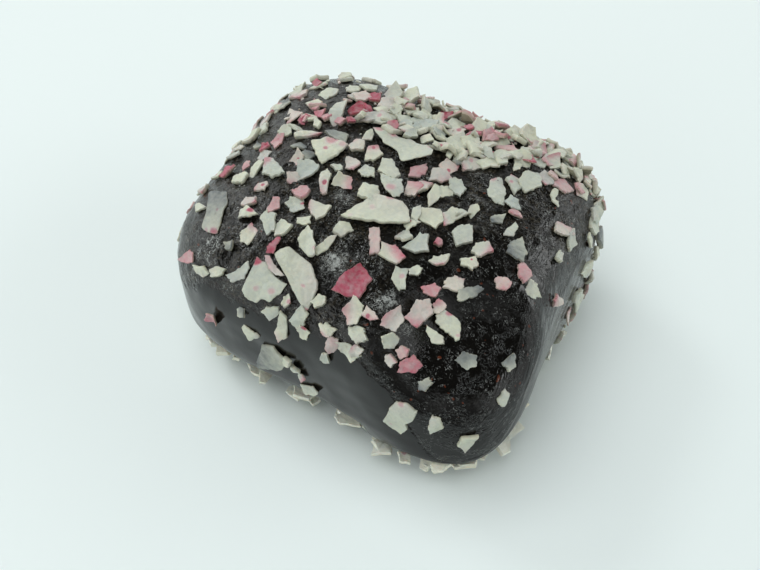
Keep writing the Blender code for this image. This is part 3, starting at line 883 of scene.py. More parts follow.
    def relief(self, points: np.ndarray, rough: np.ndarray) -> np.ndarray:
        """Height of the crinkles and of the slow waves of the sides.

        Formula in words: rough parts add folds, each a fold depth times one minus the crest times the
        size of a noise, which has sharp crests.  All parts add waves, a depth times a noise, which
        fade out at the foot.

        Args:
            points: rows of surface points.
            rough: how rough the coating is at each.

        Returns:
            One height for each point, in metres.
        """
        height = np.zeros(len(points))
        for index, (cell, depth) in enumerate(self.folds):
            ridge = 1.0 - self.fold_crest * np.abs(lattice_noise(points, cell, self.fold_seed + index))
            height += rough * depth * ridge
        for index, (cell, depth) in enumerate(self.waves):
            height += depth * lattice_noise(points * self.wave_stretch, cell, self.wave_seed + index)
        return height * smooth_step(*self.foot_fade, points[:, 2])

    def build(self, finish: bpy.types.Material) -> bpy.types.Object:
        """Make the coating.

        Args:
            finish: its material.

        Returns:
            The piece.
        """
        box_points, faces = self.box_grid()
        plain = self.block.surface(box_points)
        centre = np.array((0.0, 0.0, self.block.base_depth))
        middle = (plain - centre) / self.block.half_size
        outwards = unit(np.sign(middle) * np.abs(middle) ** self.normal_power / self.block.half_size)
        rough = self.crinkle(plain)
        # Brown dust and a painted sheen, least at the front right corner.
        grime = self.grime(plain)
        folding = rough * (self.darkest_relief + (1.0 - self.darkest_relief) * grime)
        points = plain + outwards * self.relief(plain, folding)[:, None]
        points[:, 2] = np.maximum(points[:, 2], 0.0)
        attributes = {"crinkle": rough, "grime": grime, "veil": self.veil(plain)}
        return make_piece("coating", points, faces, attributes, finish)


# ----------------------------------------------------------------------------------------- the shards


class Tone(Enum):
    """Colours of a shard: its stain all over, the stain of its stained end, and its film of chocolate."""

    IVORY = (0.00, 0.12, 0.0)
    SPOTTED = (0.03, 0.62, 0.0)
    BLUSH = (0.16, 0.60, 0.0)
    SALMON = (0.36, 0.60, 0.0)
    ROSE = (0.58, 0.85, 0.0)
    DEEP = (0.82, 1.0, 0.0)
    GREY = (0.02, 0.06, 0.60)


# Short forms of the tones, in their order, for the rows of shards.
I, T, B, S, R, D, G = Tone


@dataclass(frozen=True)
class Drawn:
    """A large shard drawn corner by corner on a face of the box, in millimetres.

    Raised is how far other shards lift it.  Spots are across, up, radius and strength.  Creases are
    across, up, bearing in degrees and slope: to the right of the line that leaves the place along
    the bearing, the sheet rises with the slope.
    """

    face: Face
    raised: float
    tone: Tone
    corners: Corners
    spots: tuple[tuple[float, float, float, float], ...] = ()
    creases: tuple[tuple[float, float, float, float], ...] = ()


DRAWN_SHARDS = (
    Drawn(Face.TOP, 0.1, I, (
        (-1.5, -5.4), (-0.9, -3.3), (-0.3, -2.0), (0.7, -1.7), (1.8, -1.5), (2.9, -2.1), (3.5, -3.3),
        (2.5, -4.1), (0.8, -5.0), (-0.4, -5.4),
    ), ((0.9, -1.6, 0.55, 0.42), (0.3, -3.4, 0.4, 0.22), (-0.7, -5.1, 0.3, 0.15)), ((-0.6, -3.6, 20, 0.16),)),
    Drawn(Face.TOP, 0.0, I, (
        (-4.8, -10.6), (-5.2, -11.4), (-4.5, -12.4), (-3.5, -13.6), (-2.5, -15.1), (-1.2, -17.2),
        (-0.4, -18.2), (-0.1, -17.4), (0.0, -13.8), (-0.4, -12.5), (-1.5, -10.9), (-4.0, -10.0),
    ), ((-0.3, -17.9, 0.6, 0.5), (-1.4, -14.0, 0.4, 0.35), (-3.0, -14.5, 0.3, 0.15))),
    Drawn(Face.TOP, 0.3, I, (
        (-4.1, 4.5), (-2.9, 5.0), (-1.9, 4.7), (-0.7, 5.1), (1.0, 4.7), (2.0, 3.9), (2.0, 3.3), (0.8, 2.8),
        (-0.1, 2.2), (-1.2, 3.2), (-2.5, 3.3),
    ), ((-3.6, 4.7, 0.6, 0.5), (-2.2, 4.7, 0.55, 0.42), (1.4, 4.4, 0.3, 0.3)), ((-0.4, 3.0, 80, 0.28),)),
    Drawn(Face.TOP, 0.0, G, (
        (-17.5, -8.3), (-13.6, -7.3), (-12.5, -8.5), (-12.2, -11.1), (-12.3, -12.7), (-14.2, -13.3),
        (-15.6, -13.2), (-15.5, -10.9),
    ), ((-13.6, -9.8, 0.32, 0.42), (-12.8, -12.8, 0.9, 0.62), (-14.3, -13.1, 0.6, 0.35))),
    Drawn(Face.TOP, 0.0, I, (
        (9.7, -9.1), (10.4, -9.2), (11.6, -9.6), (12.7, -11.0), (13.1, -11.7), (12.9, -12.0), (12.4, -11.6),
        (11.4, -11.4), (10.0, -10.7), (9.5, -10.0),
    ), ((10.4, -9.3, 0.42, 0.6), (12.6, -11.2, 0.3, 0.28))),
    Drawn(Face.TOP, 0.45, I, (
        (-3.3, -7.4), (-2.6, -7.9), (-1.9, -8.9), (-1.5, -9.8), (-1.2, -10.3), (-1.9, -10.6), (-3.1, -9.8),
        (-3.5, -9.4), (-3.5, -8.4),
    ), ((-1.7, -9.6, 0.3, 0.3),), ((-2.4, -9.9, 110, 0.45),)),
    Drawn(Face.TOP, 0.0, R, (
        (2.1, -8.5), (3.7, -9.4), (3.8, -12.1), (2.6, -13.0), (1.5, -13.0), (1.5, -10.8),
    ), (), ((2.4, -8.6, -80, 0.35),)),
    Drawn(Face.TOP, 0.2, I, (
        (-8.1, 0.9), (-6.9, 1.9), (-4.8, 1.9), (-5.0, 0.7), (-5.7, -1.0), (-6.8, -0.3),
    ), ((-6.3, 0.6, 0.28, 0.6), (-6.3, 1.8, 0.8, 0.42), (-5.2, 1.6, 0.5, 0.3))),
    Drawn(Face.TOP, 0.0, I, ((7.1, 4.6), (7.8, 5.3), (8.7, 4.1), (9.5, 2.6), (8.6, 2.3), (7.5, 2.8)),
          ((7.2, 4.6, 0.5, 0.45),)),
    Drawn(Face.TOP, 0.0, G, (
        (9.7, -7.0), (10.2, -6.3), (11.1, -5.9), (11.9, -5.9), (11.5, -6.7), (10.6, -7.9), (10.1, -8.0),
    )),
    Drawn(Face.TOP, 0.0, S, ((1.0, -5.2), (1.7, -4.6), (2.9, -6.8), (2.3, -7.4))),
    Drawn(Face.TOP, 0.3, R, ((-5.4, -9.6), (-5.0, -9.7), (-5.2, -11.7), (-5.9, -12.0), (-6.0, -11.2))),
    Drawn(Face.TOP, 0.5, B, (
        (-5.8, -12.2), (-5.3, -12.0), (-4.7, -12.8), (-3.3, -13.8), (-4.1, -14.2), (-5.0, -14.0),
        (-5.5, -13.2),
    )),
    Drawn(Face.TOP, 0.4, I, ((-0.9, 0.0), (0.3, 0.1), (1.0, 0.3), (1.7, -0.8), (1.2, -1.6), (0.1, -1.3)),
          ((0.6, -0.9, 0.5, 0.4),)),
    Drawn(Face.TOP, 0.1, I, ((-11.4, -2.2), (-10.3, -2.0), (-8.1, -3.2), (-9.1, -4.1), (-10.3, -4.1)),
          ((-11.0, -2.6, 0.9, 0.5),)),
    Drawn(Face.TOP, 0.0, I, ((-1.9, -1.3), (-0.5, -1.0), (0.0, -1.7), (-0.1, -2.8), (-1.5, -2.8))),
    Drawn(Face.TOP, 0.1, I, ((-1.7, 1.8), (-0.9, 2.1), (0.6, 0.8), (0.3, 0.2), (-0.7, 0.2), (-1.3, 0.4))),
    Drawn(Face.FRONT, 0.1, I, (
        (-7.5, 18.5), (-6.4, 18.4), (-4.6, 17.5), (-3.0, 17.2), (-3.0, 16.2), (-3.6, 14.9), (-4.4, 14.8),
        (-4.8, 14.2), (-5.8, 14.3), (-6.4, 14.8), (-6.7, 15.8), (-7.0, 17.3),
    ), ((-7.2, 18.3, 0.8, 0.8), (-3.9, 16.0, 0.45, 0.34), (-5.4, 15.6, 0.35, 0.3))),
    Drawn(Face.FRONT, 0.0, I, (
        (7.3, 7.8), (7.9, 10.5), (8.5, 11.6), (9.4, 12.1), (10.3, 11.6), (10.1, 10.5), (9.4, 9.5),
        (9.5, 8.6), (9.0, 7.6), (8.3, 7.6),
    ), ((8.9, 11.8, 0.4, 0.4), (8.1, 8.5, 0.2, 0.45)), ((8.5, 11.6, -67, -0.08),)),
    Drawn(Face.FRONT, 0.0, G, (
        (-3.8, 9.9), (-2.7, 10.4), (-1.4, 9.5), (-2.0, 7.9), (-3.5, 6.7), (-4.6, 6.3), (-4.4, 7.7),
    )),
    Drawn(Face.FRONT, 0.1, I, (
        (-8.7, 15.4), (-8.1, 16.3), (-8.0, 17.8), (-7.2, 17.2), (-6.9, 15.9), (-7.7, 15.0),
    )),
)

# The next largest shards: across, up, length, width, turn, in millimetres and degrees, and tone.
TOP_SHARDS = (
    (-4.6, -2.5, 2.9, 1.0, 115, T), (4.0, 7.6, 2.6, 2.0, 110, I), (13.3, -0.7, 2.6, 1.6, 110, G),
    (-6.5, -2.0, 2.4, 1.9, 115, I), (-7.0, -8.6, 2.4, 1.4, 120, I), (10.4, 6.4, 2.8, 2.0, 110, I),
    (7.1, 7.7, 2.0, 1.8, 90, I), (4.7, -1.8, 2.3, 2.0, 150, I), (-5.1, 5.6, 2.3, 1.8, 20, B),
    (4.0, -14.0, 2.3, 1.5, 100, T), (1.5, 2.1, 2.2, 1.3, 70, S), (7.6, -2.3, 2.2, 1.8, 100, I),
    (8.5, -10.4, 2.2, 1.8, 60, B), (-3.5, -5.4, 2.2, 1.9, 120, T), (-8.4, -10.6, 2.2, 1.4, 120, T),
    (3.7, -6.4, 2.1, 1.9, 30, T), (-6.6, 6.5, 2.1, 1.9, 10, D), (-11.6, -3.9, 2.3, 1.1, 100, I),
    (9.1, 5.0, 2.1, 1.6, 115, T), (7.3, -12.4, 2.1, 1.5, 72, B), (5.3, -8.1, 2.0, 1.2, 110, I),
    (5.0, -4.5, 2.0, 1.9, -10, I), (3.4, -2.0, 2.0, 0.8, 102, I), (5.9, -1.1, 2.0, 1.2, 100, T),
    (14.0, 6.8, 2.0, 0.9, 125, I), (-11.8, 0.2, 1.9, 1.1, 100, R), (15.6, -2.7, 1.9, 1.3, 110, S),
    (15.6, -13.9, 1.6, 1.3, 10, G), (-5.5, -5.8, 1.9, 1.8, 90, I), (10.9, -12.1, 1.9, 0.9, -28, I),
    (9.9, -2.8, 1.8, 1.5, 30, T), (9.1, -6.6, 1.8, 1.6, 30, B), (14.5, 9.2, 1.9, 1.5, 20, S),
    (-16.1, -5.0, 1.9, 1.4, 10, R), (-5.8, -4.5, 1.6, 1.6, 0, S), (-5.5, -8.8, 1.7, 1.5, 90, I),
    (9.3, -4.3, 1.5, 1.3, 20, I), (7.8, -7.9, 1.5, 1.2, 20, R), (13.6, -4.7, 1.5, 1.2, 20, S),
    (-13.0, 4.2, 1.9, 1.3, 90, B), (-11.2, 8.3, 1.7, 1.6, 60, I), (-8.0, 5.0, 3.2, 1.2, 100, T),
    (-4.8, 8.6, 2.4, 2.0, 60, B), (-9.0, 1.8, 2.4, 0.8, 42, T), (-2.6, 7.6, 1.8, 1.5, 60, I),
    (-0.9, 8.1, 2.6, 1.6, 10, I), (2.9, 6.8, 2.2, 1.8, 120, I), (2.1, 8.6, 1.9, 1.6, 40, B),
    (5.2, 8.1, 1.9, 1.7, 80, I), (3.5, 3.7, 2.0, 1.6, 150, B), (3.4, 2.4, 1.9, 1.2, 20, B),
    (6.2, 6.0, 2.1, 1.5, 20, I), (4.9, 5.0, 2.2, 1.5, 70, B), (-6.5, 2.5, 2.1, 1.2, 0, G),
    (7.0, 9.1, 2.2, 1.3, 10, S), (11.8, 8.1, 1.8, 1.6, 30, B), (9.9, 11.5, 1.8, 1.5, 20, B),
    (-17.6, 0.9, 2.0, 1.1, 40, I), (-16.2, 2.2, 1.5, 1.4, 0, I),
)
FRONT_SHARDS = (
    (-2.0, 13.3, 2.9, 1.1, 90, T), (4.0, 14.0, 2.5, 1.2, -5, I), (15.0, 8.6, 2.4, 1.3, 75, I),
    (11.9, 10.6, 2.3, 1.2, 80, I), (-0.7, 14.7, 2.2, 1.3, 80, I), (-14.5, 14.5, 2.0, 1.1, 40, R),
    (0.6, 6.5, 2.0, 1.2, 30, I), (9.6, 15.4, 1.9, 1.3, 50, R), (4.9, 15.9, 1.7, 1.4, -30, I),
    (-9.0, 10.0, 1.6, 1.3, 60, R), (-4.9, 10.7, 1.7, 1.3, 0, I),
)
RIGHT_SHARDS = (
    (4.5, 16.4, 2.2, 1.2, -50, B), (4.3, 15.2, 1.6, 1.2, 70, I), (-9.7, 14.9, 1.5, 1.1, 20, G),
    (-11.2, 12.6, 1.5, 1.2, 60, I),
)

# Smaller shards that are placed one by one too.
TOP_SMALL = (
    (6.0, -6.9, 1.1, 0.9, 60, I), (7.0, -5.3, 1.5, 1.2, 10, T), (6.2, -3.8, 0.7, 0.6, 0, R),
    (3.7, -4.5, 1.4, 1.2, 90, T), (3.6, -3.2, 1.4, 1.3, 30, I), (2.0, 0.1, 1.8, 1.4, 70, B),
    (2.8, 0.6, 1.5, 1.1, 80, B), (3.7, 0.2, 2.8, 1.0, 100, I), (4.3, 1.1, 1.6, 1.3, 40, I),
    (5.1, 2.0, 2.0, 1.4, 152, I), (6.6, -0.4, 1.4, 1.2, 80, I), (7.0, -0.5, 1.3, 1.1, 20, T),
    (10.0, 3.1, 1.5, 1.2, 140, I), (7.4, 0.5, 1.5, 0.8, 95, I), (10.9, 2.4, 1.4, 0.9, 20, S),
    (9.8, 0.9, 1.5, 1.0, 60, G), (11.6, 0.5, 1.9, 0.8, 85, I), (9.3, -9.1, 1.3, 1.1, 100, B),
    (1.9, 5.5, 1.7, 1.2, 30, T), (-1.6, 6.0, 1.8, 1.0, 0, T), (-2.9, 5.8, 1.0, 1.0, 0, R),
    (0.9, 7.4, 1.6, 1.2, 70, I), (9.4, 8.7, 1.4, 1.2, 150, R), (-12.6, -5.4, 1.6, 1.3, 45, I),
    (-9.6, -5.4, 1.4, 1.1, 75, B), (-8.5, 4.3, 1.1, 1.0, 10, R), (-12.3, 3.8, 1.9, 1.4, 80, B),
    (-10.5, 2.3, 2.0, 1.2, 15, I), (-10.5, 3.6, 1.4, 1.2, 0, R), (-8.1, -1.5, 2.1, 1.0, 70, B),
    (-7.3, -3.4, 1.3, 1.1, 130, B), (-4.1, -7.0, 1.2, 1.0, 20, I), (-3.4, -1.9, 1.9, 1.7, 50, T),
    (-3.5, 0.2, 1.6, 1.3, 110, B), (-2.7, 2.0, 2.1, 1.5, 80, T), (-2.1, 0.0, 1.7, 1.4, 150, I),
    (-9.2, -8.8, 1.5, 1.2, 0, I), (-9.8, -7.4, 1.4, 1.1, 30, B), (-7.2, -6.9, 1.7, 0.9, 100, S),
    (-0.9, -6.3, 1.6, 1.3, 60, I), (-1.3, -8.3, 2.5, 0.8, 74, I), (5.6, -13.3, 1.4, 0.9, 0, B),
    (-11.0, 3.7, 1.3, 1.2, 20, R), (-9.6, 4.7, 1.1, 0.9, 0, R), (-10.6, 5.7, 1.5, 0.6, 10, S),
    (-15.0, 11.0, 1.3, 1.0, 90, R), (-13.5, 14.0, 1.7, 1.2, 80, I), (-17.0, 9.0, 1.6, 1.3, 90, I),
    (-17.0, 6.5, 1.8, 1.5, 60, G), (-5.9, 6.7, 1.0, 0.7, 0, D), (-7.1, 4.2, 1.2, 0.9, 0, S),
    (-6.3, 4.5, 0.9, 0.7, 0, R), (-9.4, 9.6, 1.8, 1.4, 80, I), (-7.6, 8.2, 1.7, 1.5, 60, B),
    (-8.3, 7.3, 0.9, 0.8, 0, S), (-4.7, 7.2, 1.8, 1.2, 10, T), (-4.3, 2.1, 1.5, 1.4, 30, B),
    (-4.5, -0.7, 1.1, 0.9, 0, I), (-7.7, -0.5, 1.6, 1.0, 20, G), (-8.9, 0.2, 1.4, 0.9, 0, G),
    (-11.6, 1.6, 1.5, 1.2, 90, I), (-9.0, 3.4, 1.3, 0.8, -50, I), (-18.5, 4.0, 1.5, 1.3, 90, B),
    (-18.5, 5.5, 1.0, 0.7, 90, R), (-21.0, -0.5, 1.4, 1.0, 0, B), (-22.0, -2.0, 1.6, 1.2, 90, I),
    (-18.5, -2.2, 1.4, 1.1, 30, I), (-18.8, -5.8, 1.2, 0.8, 60, I), (-12.7, -0.9, 1.3, 0.9, 90, R),
    (-11.9, -1.8, 1.4, 1.0, 100, B), (-13.3, -3.6, 1.1, 0.7, 90, S), (-14.0, -0.7, 0.9, 0.8, 0, G),
    (-20.5, -8.5, 1.2, 1.1, 0, B), (-18.0, -11.0, 1.5, 0.9, 20, I), (-10.3, -13.2, 1.0, 0.9, 0, G),
    (4.0, 4.5, 1.0, 0.8, 0, G), (3.0, 10.0, 1.0, 0.6, 0, R), (5.4, 9.4, 1.2, 0.9, 30, R),
    (2.6, 14.0, 1.4, 1.1, 0, S), (5.8, 14.0, 1.3, 1.1, 0, R), (-3.5, 14.5, 1.5, 1.2, 0, S),
    (-4.2, 9.7, 1.5, 1.2, 60, I), (8.3, 8.6, 1.6, 1.3, 60, I), (8.6, 7.1, 1.3, 0.7, 90, I),
    (12.6, 9.2, 1.2, 1.0, 0, S), (11.0, 15.0, 1.8, 1.2, 90, I), (12.0, 16.5, 1.0, 0.9, 0, R),
    (17.0, 16.0, 2.0, 1.6, 60, T), (14.0, 11.5, 1.5, 1.2, 0, I), (13.6, 10.3, 1.3, 1.1, 0, I),
    (11.6, 10.6, 1.4, 1.2, 0, B),
)
FRONT_SMALL = (
    (-11.5, 14.6, 1.8, 1.0, 0, I), (-9.5, 15.3, 1.4, 0.9, 40, I), (-5.8, 12.7, 1.0, 0.9, 0, G),
    (-3.2, 14.2, 1.4, 1.1, 60, I), (-2.2, 15.6, 1.3, 0.7, 90, I), (0.0, 13.7, 1.5, 1.2, 100, I),
    (0.6, 16.9, 1.2, 0.9, 60, I), (2.2, 14.9, 1.5, 1.2, 20, T), (2.6, 13.7, 1.5, 1.1, 80, S),
    (2.2, 12.3, 1.3, 0.8, 95, I), (5.0, 14.5, 1.3, 1.0, 30, B), (-1.4, 9.5, 1.1, 0.9, 10, I),
    (-0.8, 8.8, 1.1, 0.9, 50, I), (-0.2, 8.0, 1.2, 0.9, 90, T), (8.0, 16.8, 1.4, 1.2, 30, I),
    (9.3, 16.5, 1.2, 1.0, 70, S), (8.1, 15.2, 1.1, 0.9, 0, B), (11.0, 14.4, 1.2, 1.0, 80, G),
)
RIGHT_SMALL = (
    (-3.3, 16.2, 1.7, 1.3, 80, I), (-1.0, 13.0, 1.5, 1.2, 100, B), (1.6, 15.3, 1.3, 0.7, 0, I),
    (9.0, 14.0, 1.5, 1.3, 40, I), (6.3, 13.0, 1.9, 0.7, 95, I), (10.5, 16.6, 1.1, 0.9, 0, R),
)

Rows = tuple[tuple[float, float, float, float, float, Tone], ...]
Spread = tuple[np.ndarray, np.ndarray, np.ndarray]


@dataclass
class Scatter:
    """Shards with their seats, frames, sizes (length, width, turn), draws, leans, lifts and tones."""

    seat: np.ndarray
    frame: np.ndarray
    size: np.ndarray
    draw: np.ndarray
    lean: np.ndarray
    lift: np.ndarray
    tone: np.ndarray

    def part(self, start: int, stop: Optional[int] = None) -> "Scatter":
        """A run of the shards."""
        return Scatter(*(values[start:stop] for values in vars(self).values()))


def picked_tones(rng: np.random.Generator, count: int, chances: tuple[float, ...]) -> np.ndarray:
    """Rows of drawn tones, by the chance of each."""
    return np.array([kind.value for kind in Tone])[rng.choice(len(Tone), count, p=chances)]


@dataclass(frozen=True)
class Cover:
    """How much of the surface the strewn shards cover, by place, in millimetres.

    The back of the top is nearly hidden, less so at its left end.  The front part has only the shards
    that are placed one by one, and the sides thin out downwards.  A pair says where a share starts
    to rise and where it is whole.
    """

    edge: float = 3.8
    edge_gain: float = 4.7
    edge_turn: Span = (4.0, 11.0)
    edge_blend: Span = (-0.8, 1.6)
    left_end: Span = (-9.0, -3.0)
    left_share: float = 0.12
    top_gain: float = 0.85
    side_heights: Span = (14.5, 7.0)
    side_share: float = 0.38
    behind: Span = (6.0, 13.0)
    left_across: Span = (-10.0, -15.0)
    left_back: Span = (-10.0, -3.0)
    left_part: float = 0.5
    right_across: Span = (12.0, 15.5)
    right_back: Span = (0.0, 9.0)
    right_part: float = 0.35

    def share(self, points: np.ndarray) -> np.ndarray:
        """The share that is covered at each point: a blend of the top's and the sides' by the height.

        Args:
            points: rows of surface points, in metres.

        Returns:
            One share for each point.
        """
        x, y, z = (points / MM).T
        edge = self.edge + self.edge_gain * smooth_step(*self.edge_turn, x)
        back = smooth_step(*self.edge_blend, y - edge)
        top = (self.left_share + self.top_gain * smooth_step(*self.left_end, x)) * back
        low = smooth_step(*self.side_heights, z)
        behind = smooth_step(*self.behind, y)
        leftward = smooth_step(*self.left_across, x) * smooth_step(*self.left_back, y)
        rightward = smooth_step(*self.right_across, x) * smooth_step(*self.right_back, y)
        ends = np.maximum(self.left_part * leftward, self.right_part * rightward)
        return top * (1.0 - low) + self.side_share * np.maximum(behind, ends) * low


@dataclass(frozen=True)
class Loose:
    """Shards or crumbs dropped over what lies there, wherever there is at least some cover.

    Lengths and lifts are the least and the most, in metres, and the lean is the greatest, in radians.
    """

    seed: int
    count: int
    least_cover: float
    length: Span
    lift: Span
    lean: float


@dataclass(frozen=True)
class Strewing:
    """Where the shards lie: one by one, round the foot, and by a seeded rule, the largest first.

    Sizes are in metres but for those in mm.  Pairs are the least and the most of a draw, as shares of
    a size.  The lift of the small shards gains with the cover.
    """

    block: Block
    cover: Cover = Cover()
    seed: int = 4
    foot_count: int = 56
    foot_stray: float = 1.1
    foot_height: float = 1.5 * MM
    foot_heights: Span = (0.3, 1.4)
    foot_length: float = 1.9 * MM
    foot_width: float = 1.5 * MM
    foot_sizes: Span = (0.5, 1.3)
    foot_shift: float = 0.3
    total: int = 1000
    candidates: int = 60000
    longest: float = 2.0 * MM
    shortest: float = 0.8 * MM
    length_power: float = 1.25
    least_shape: float = 0.55
    spacing_bare: float = 1.25
    spacing_dense: float = 0.60
    lean_placed: float = math.radians(18.0)
    lean_foot: float = math.radians(30.0)
    lean_small: float = math.radians(34.0)
    lean_foot_small: float = math.radians(25.0)
    lift_small_mm: float = 0.05
    lift_small_gain_mm: float = 0.35
    lean_bare: float = math.radians(16.0)
    lean_dense: float = math.radians(58.0)
    raise_dense: float = 0.5 * MM
    solid_count: int = 100
    rest_share: float = 0.35
    safe_edge: float = 2.8 * MM
    corners: int = 5
    chances: tuple[float, ...] = (0.55, 0.18, 0.14, 0.045, 0.025, 0.01, 0.05)

    @property
    def draws(self) -> int:
        """Draws for a shard: two for each corner, then its lean, the lean's bearing, taper and turn."""
        return 2 * self.corners + 4

    def placed(self, groups: tuple[tuple[Face, Rows], ...]) -> tuple[Spread, list[Tone]]:
        """Seats, frames and sizes of shards that are placed one by one, and their tones.

        Args:
            groups: faces of the box with their rows of shards.

        Returns:
            The spread and the tones.
        """
        places, frames, sizes, tones = [], [], [], []
        for face, shards in groups:
            table = np.array([row[:5] for row in shards], float)
            here, axes = self.block.seats(face, table[:, 0] * MM, table[:, 1] * MM)
            places.append(here)
            frames.append(axes)
            sizes.append(table[:, 2:] * (MM, MM, math.pi / 180.0))
            tones += [row[5].value for row in shards]
        return (np.concatenate(places), np.concatenate(frames), np.concatenate(sizes)), tones

    def foot_ring(self, rng: np.random.Generator) -> Spread:
        """Seats, level frames and sizes of the shards round the foot, strayed from an even spacing.

        Args:
            rng: the source of the draws.

        Returns:
            The spread.
        """
        count = self.foot_count
        stray = rng.uniform(-self.foot_stray, self.foot_stray, count)
        height = self.foot_height * rng.uniform(*self.foot_heights, count)
        size = rng.uniform(*self.foot_sizes, (count, 2)) * (self.foot_length, self.foot_width)
        turn = rng.uniform(0.0, math.pi, count)
        shift = self.foot_shift * size.min(axis=1, keepdims=True)
        lap = (np.arange(count) + stray) / count % 1.0
        run = lap * 4.0 * (self.block.half_length + self.block.half_width)
        places, frames, sizes = [], [], []
        start = 0.0
        for face in (Face.FRONT, Face.RIGHT, Face.BACK, Face.LEFT):
            long_side = face in (Face.FRONT, Face.BACK)
            half = self.block.half_length if long_side else self.block.half_width
            mine = (run >= start) & (run < start + 2.0 * half)
            here, axes = self.block.seats(face, run[mine] - start - half, height[mine])
            along = unit(axes[:, 0] * (1.0, 1.0, 0.0))
            places.append(here + shift[mine] * np.cross(along, UP))
            frames.append(np.stack((along, np.cross(UP, along), np.broadcast_to(UP, along.shape)), axis=1))
            sizes.append(np.column_stack((size[mine], turn[mine])))
            start += 2.0 * half
        return np.concatenate(places), np.concatenate(frames), np.concatenate(sizes)

    def tries(self, rng: np.random.Generator) -> tuple[np.ndarray, np.ndarray]:
        """Places to try, drawn evenly over the box and kept by the cover that they would have.

        Args:
            rng: the source of the draws.

        Returns:
            Surface points and their axes.
        """
        block = self.block
        areas = {Face.TOP: 4.0 * block.half_length * block.half_width}
        for face in (Face.FRONT, Face.BACK):
            areas[face] = 4.0 * block.half_length * block.half_height
        for face in (Face.RIGHT, Face.LEFT):
            areas[face] = 4.0 * block.half_width * block.half_height
        total = sum(areas.values())
        spots, frames = [], []
        for face, area in areas.items():
            count = int(self.candidates * area / total)
            reach = np.abs(np.array(face.value[1:], float) @ block.half_size)
            across = rng.uniform(-reach[0], reach[0], count)
            up = rng.uniform(-reach[1], reach[1], count)
            up = up if face is Face.TOP else up + block.base_depth
            here, axes = block.seats(face, across, up)
            spots.append(here)
            frames.append(axes)
        spots = np.concatenate(spots)
        frames = np.concatenate(frames)
        order = rng.permutation(len(spots))
        keep = rng.uniform(0.0, 1.0, len(spots)) < self.cover.share(spots[order])
        keep &= spots[order][:, 2] > self.safe_edge
        return spots[order][keep], frames[order][keep]

    def strewn(self, rng: np.random.Generator, taken: np.ndarray, taken_radius: np.ndarray) -> Spread:
        """Seats, frames and sizes of the strewn shards, the largest first, each kept off the others.

        Args:
            rng: the source of the draws.
            taken: seats that are taken already.
            taken_radius: the radius that each of those keeps free.

        Returns:
            Seats, frames and sizes.
        """
        rank = (np.arange(self.total) / self.total) ** (1.0 / self.length_power)
        length = self.longest + (self.shortest - self.longest) * rank
        width = length * rng.uniform(self.least_shape, 1.0, self.total)
        turn = rng.uniform(0.0, math.pi, self.total)
        spots, frames = self.tries(rng)
        spacing = self.spacing_bare + (self.spacing_dense - self.spacing_bare) * self.cover.share(spots)
        radius = 0.25 * (length + width)
        held = len(taken)
        places = np.concatenate((taken, np.zeros((self.total, 3))))
        radii = np.concatenate((taken_radius, radius))
        chosen = []
        at = 0
        for index in range(self.total):
            while at < len(spots):
                gap = np.linalg.norm(places[:held] - spots[at], axis=1)
                if np.all(gap > spacing[at] * (radii[:held] + radius[index])):
                    break
                at += 1
            if at == len(spots):
                break
            chosen.append(at)
            places[held] = spots[at]
            held += 1
            at += 1
        sizes = np.column_stack((length, width, turn))[:len(chosen)]
        return spots[chosen], frames[chosen], sizes

    def ruled(self, drawn_seat: np.ndarray, drawn_radius: np.ndarray) -> tuple[Scatter, int, int]:
        """Every shard with drawn-by-lot corners that the solid's rule knows.

        Args:
            drawn_seat: seats of the shards that are drawn corner by corner.
            drawn_radius: the radius that each of those keeps free.

        Returns:
            The shards, how many were placed one by one, and how many of those and the foot's there are.
        """
        rng = np.random.default_rng(self.seed)
        groups = ((Face.TOP, TOP_SHARDS), (Face.FRONT, FRONT_SHARDS), (Face.RIGHT, RIGHT_SHARDS))
        placed, tones = self.placed(groups)
        foot = self.foot_ring(rng)
        by_hand, fixed = len(placed[0]), len(placed[0]) + len(foot[0])
        known_radius = 0.25 * np.concatenate((placed[2], foot[2]))[:, :2].sum(axis=1)
        taken = np.concatenate((drawn_seat, placed[0], foot[0]))
        spread = self.strewn(rng, taken, np.concatenate((drawn_radius, known_radius)))
        seat, axes, size = (np.concatenate(rows) for rows in zip(placed, foot, spread))
        count = len(seat)
        draw = np.random.default_rng(self.seed + 1).uniform(0.0, 1.0, (count, self.draws))
        cover = self.cover.share(spread[0])
        lean = np.concatenate((
            np.full(by_hand, self.lean_placed), np.full(fixed - by_hand, self.lean_foot),
            self.lean_bare + (self.lean_dense - self.lean_bare) * cover,
        ))
        raised = self.raise_dense * cover
        raised[self.solid_count:] *= self.rest_share
        lift = np.concatenate((np.zeros(fixed), raised)) * np.abs(2.0 * draw[:, -4] - 1.0)
        tone = picked_tones(np.random.default_rng(self.seed + 2), count, self.chances)
        tone[:by_hand] = tones
        tone[by_hand:fixed] = Tone.IVORY.value
        return Scatter(seat, axes, size, draw, lean, lift, tone), by_hand, fixed

    def small(self, seed: int) -> Scatter:
        """The smaller shards that are placed one by one.

        Args:
            seed: picks their draws.

        Returns:
            The shards.
        """
        rng = np.random.default_rng(seed)
        groups = ((Face.TOP, TOP_SMALL), (Face.FRONT, FRONT_SMALL), (Face.RIGHT, RIGHT_SMALL))
        (seat, axes, size), tones = self.placed(groups)
        count = len(seat)
        draw = rng.uniform(0.0, 1.0, (count, self.draws))
        lift = (self.lift_small_mm + self.lift_small_gain_mm * self.cover.share(seat)) * MM
        return Scatter(seat, axes, size, draw, np.full(count, self.lean_small), lift, np.array(tones))

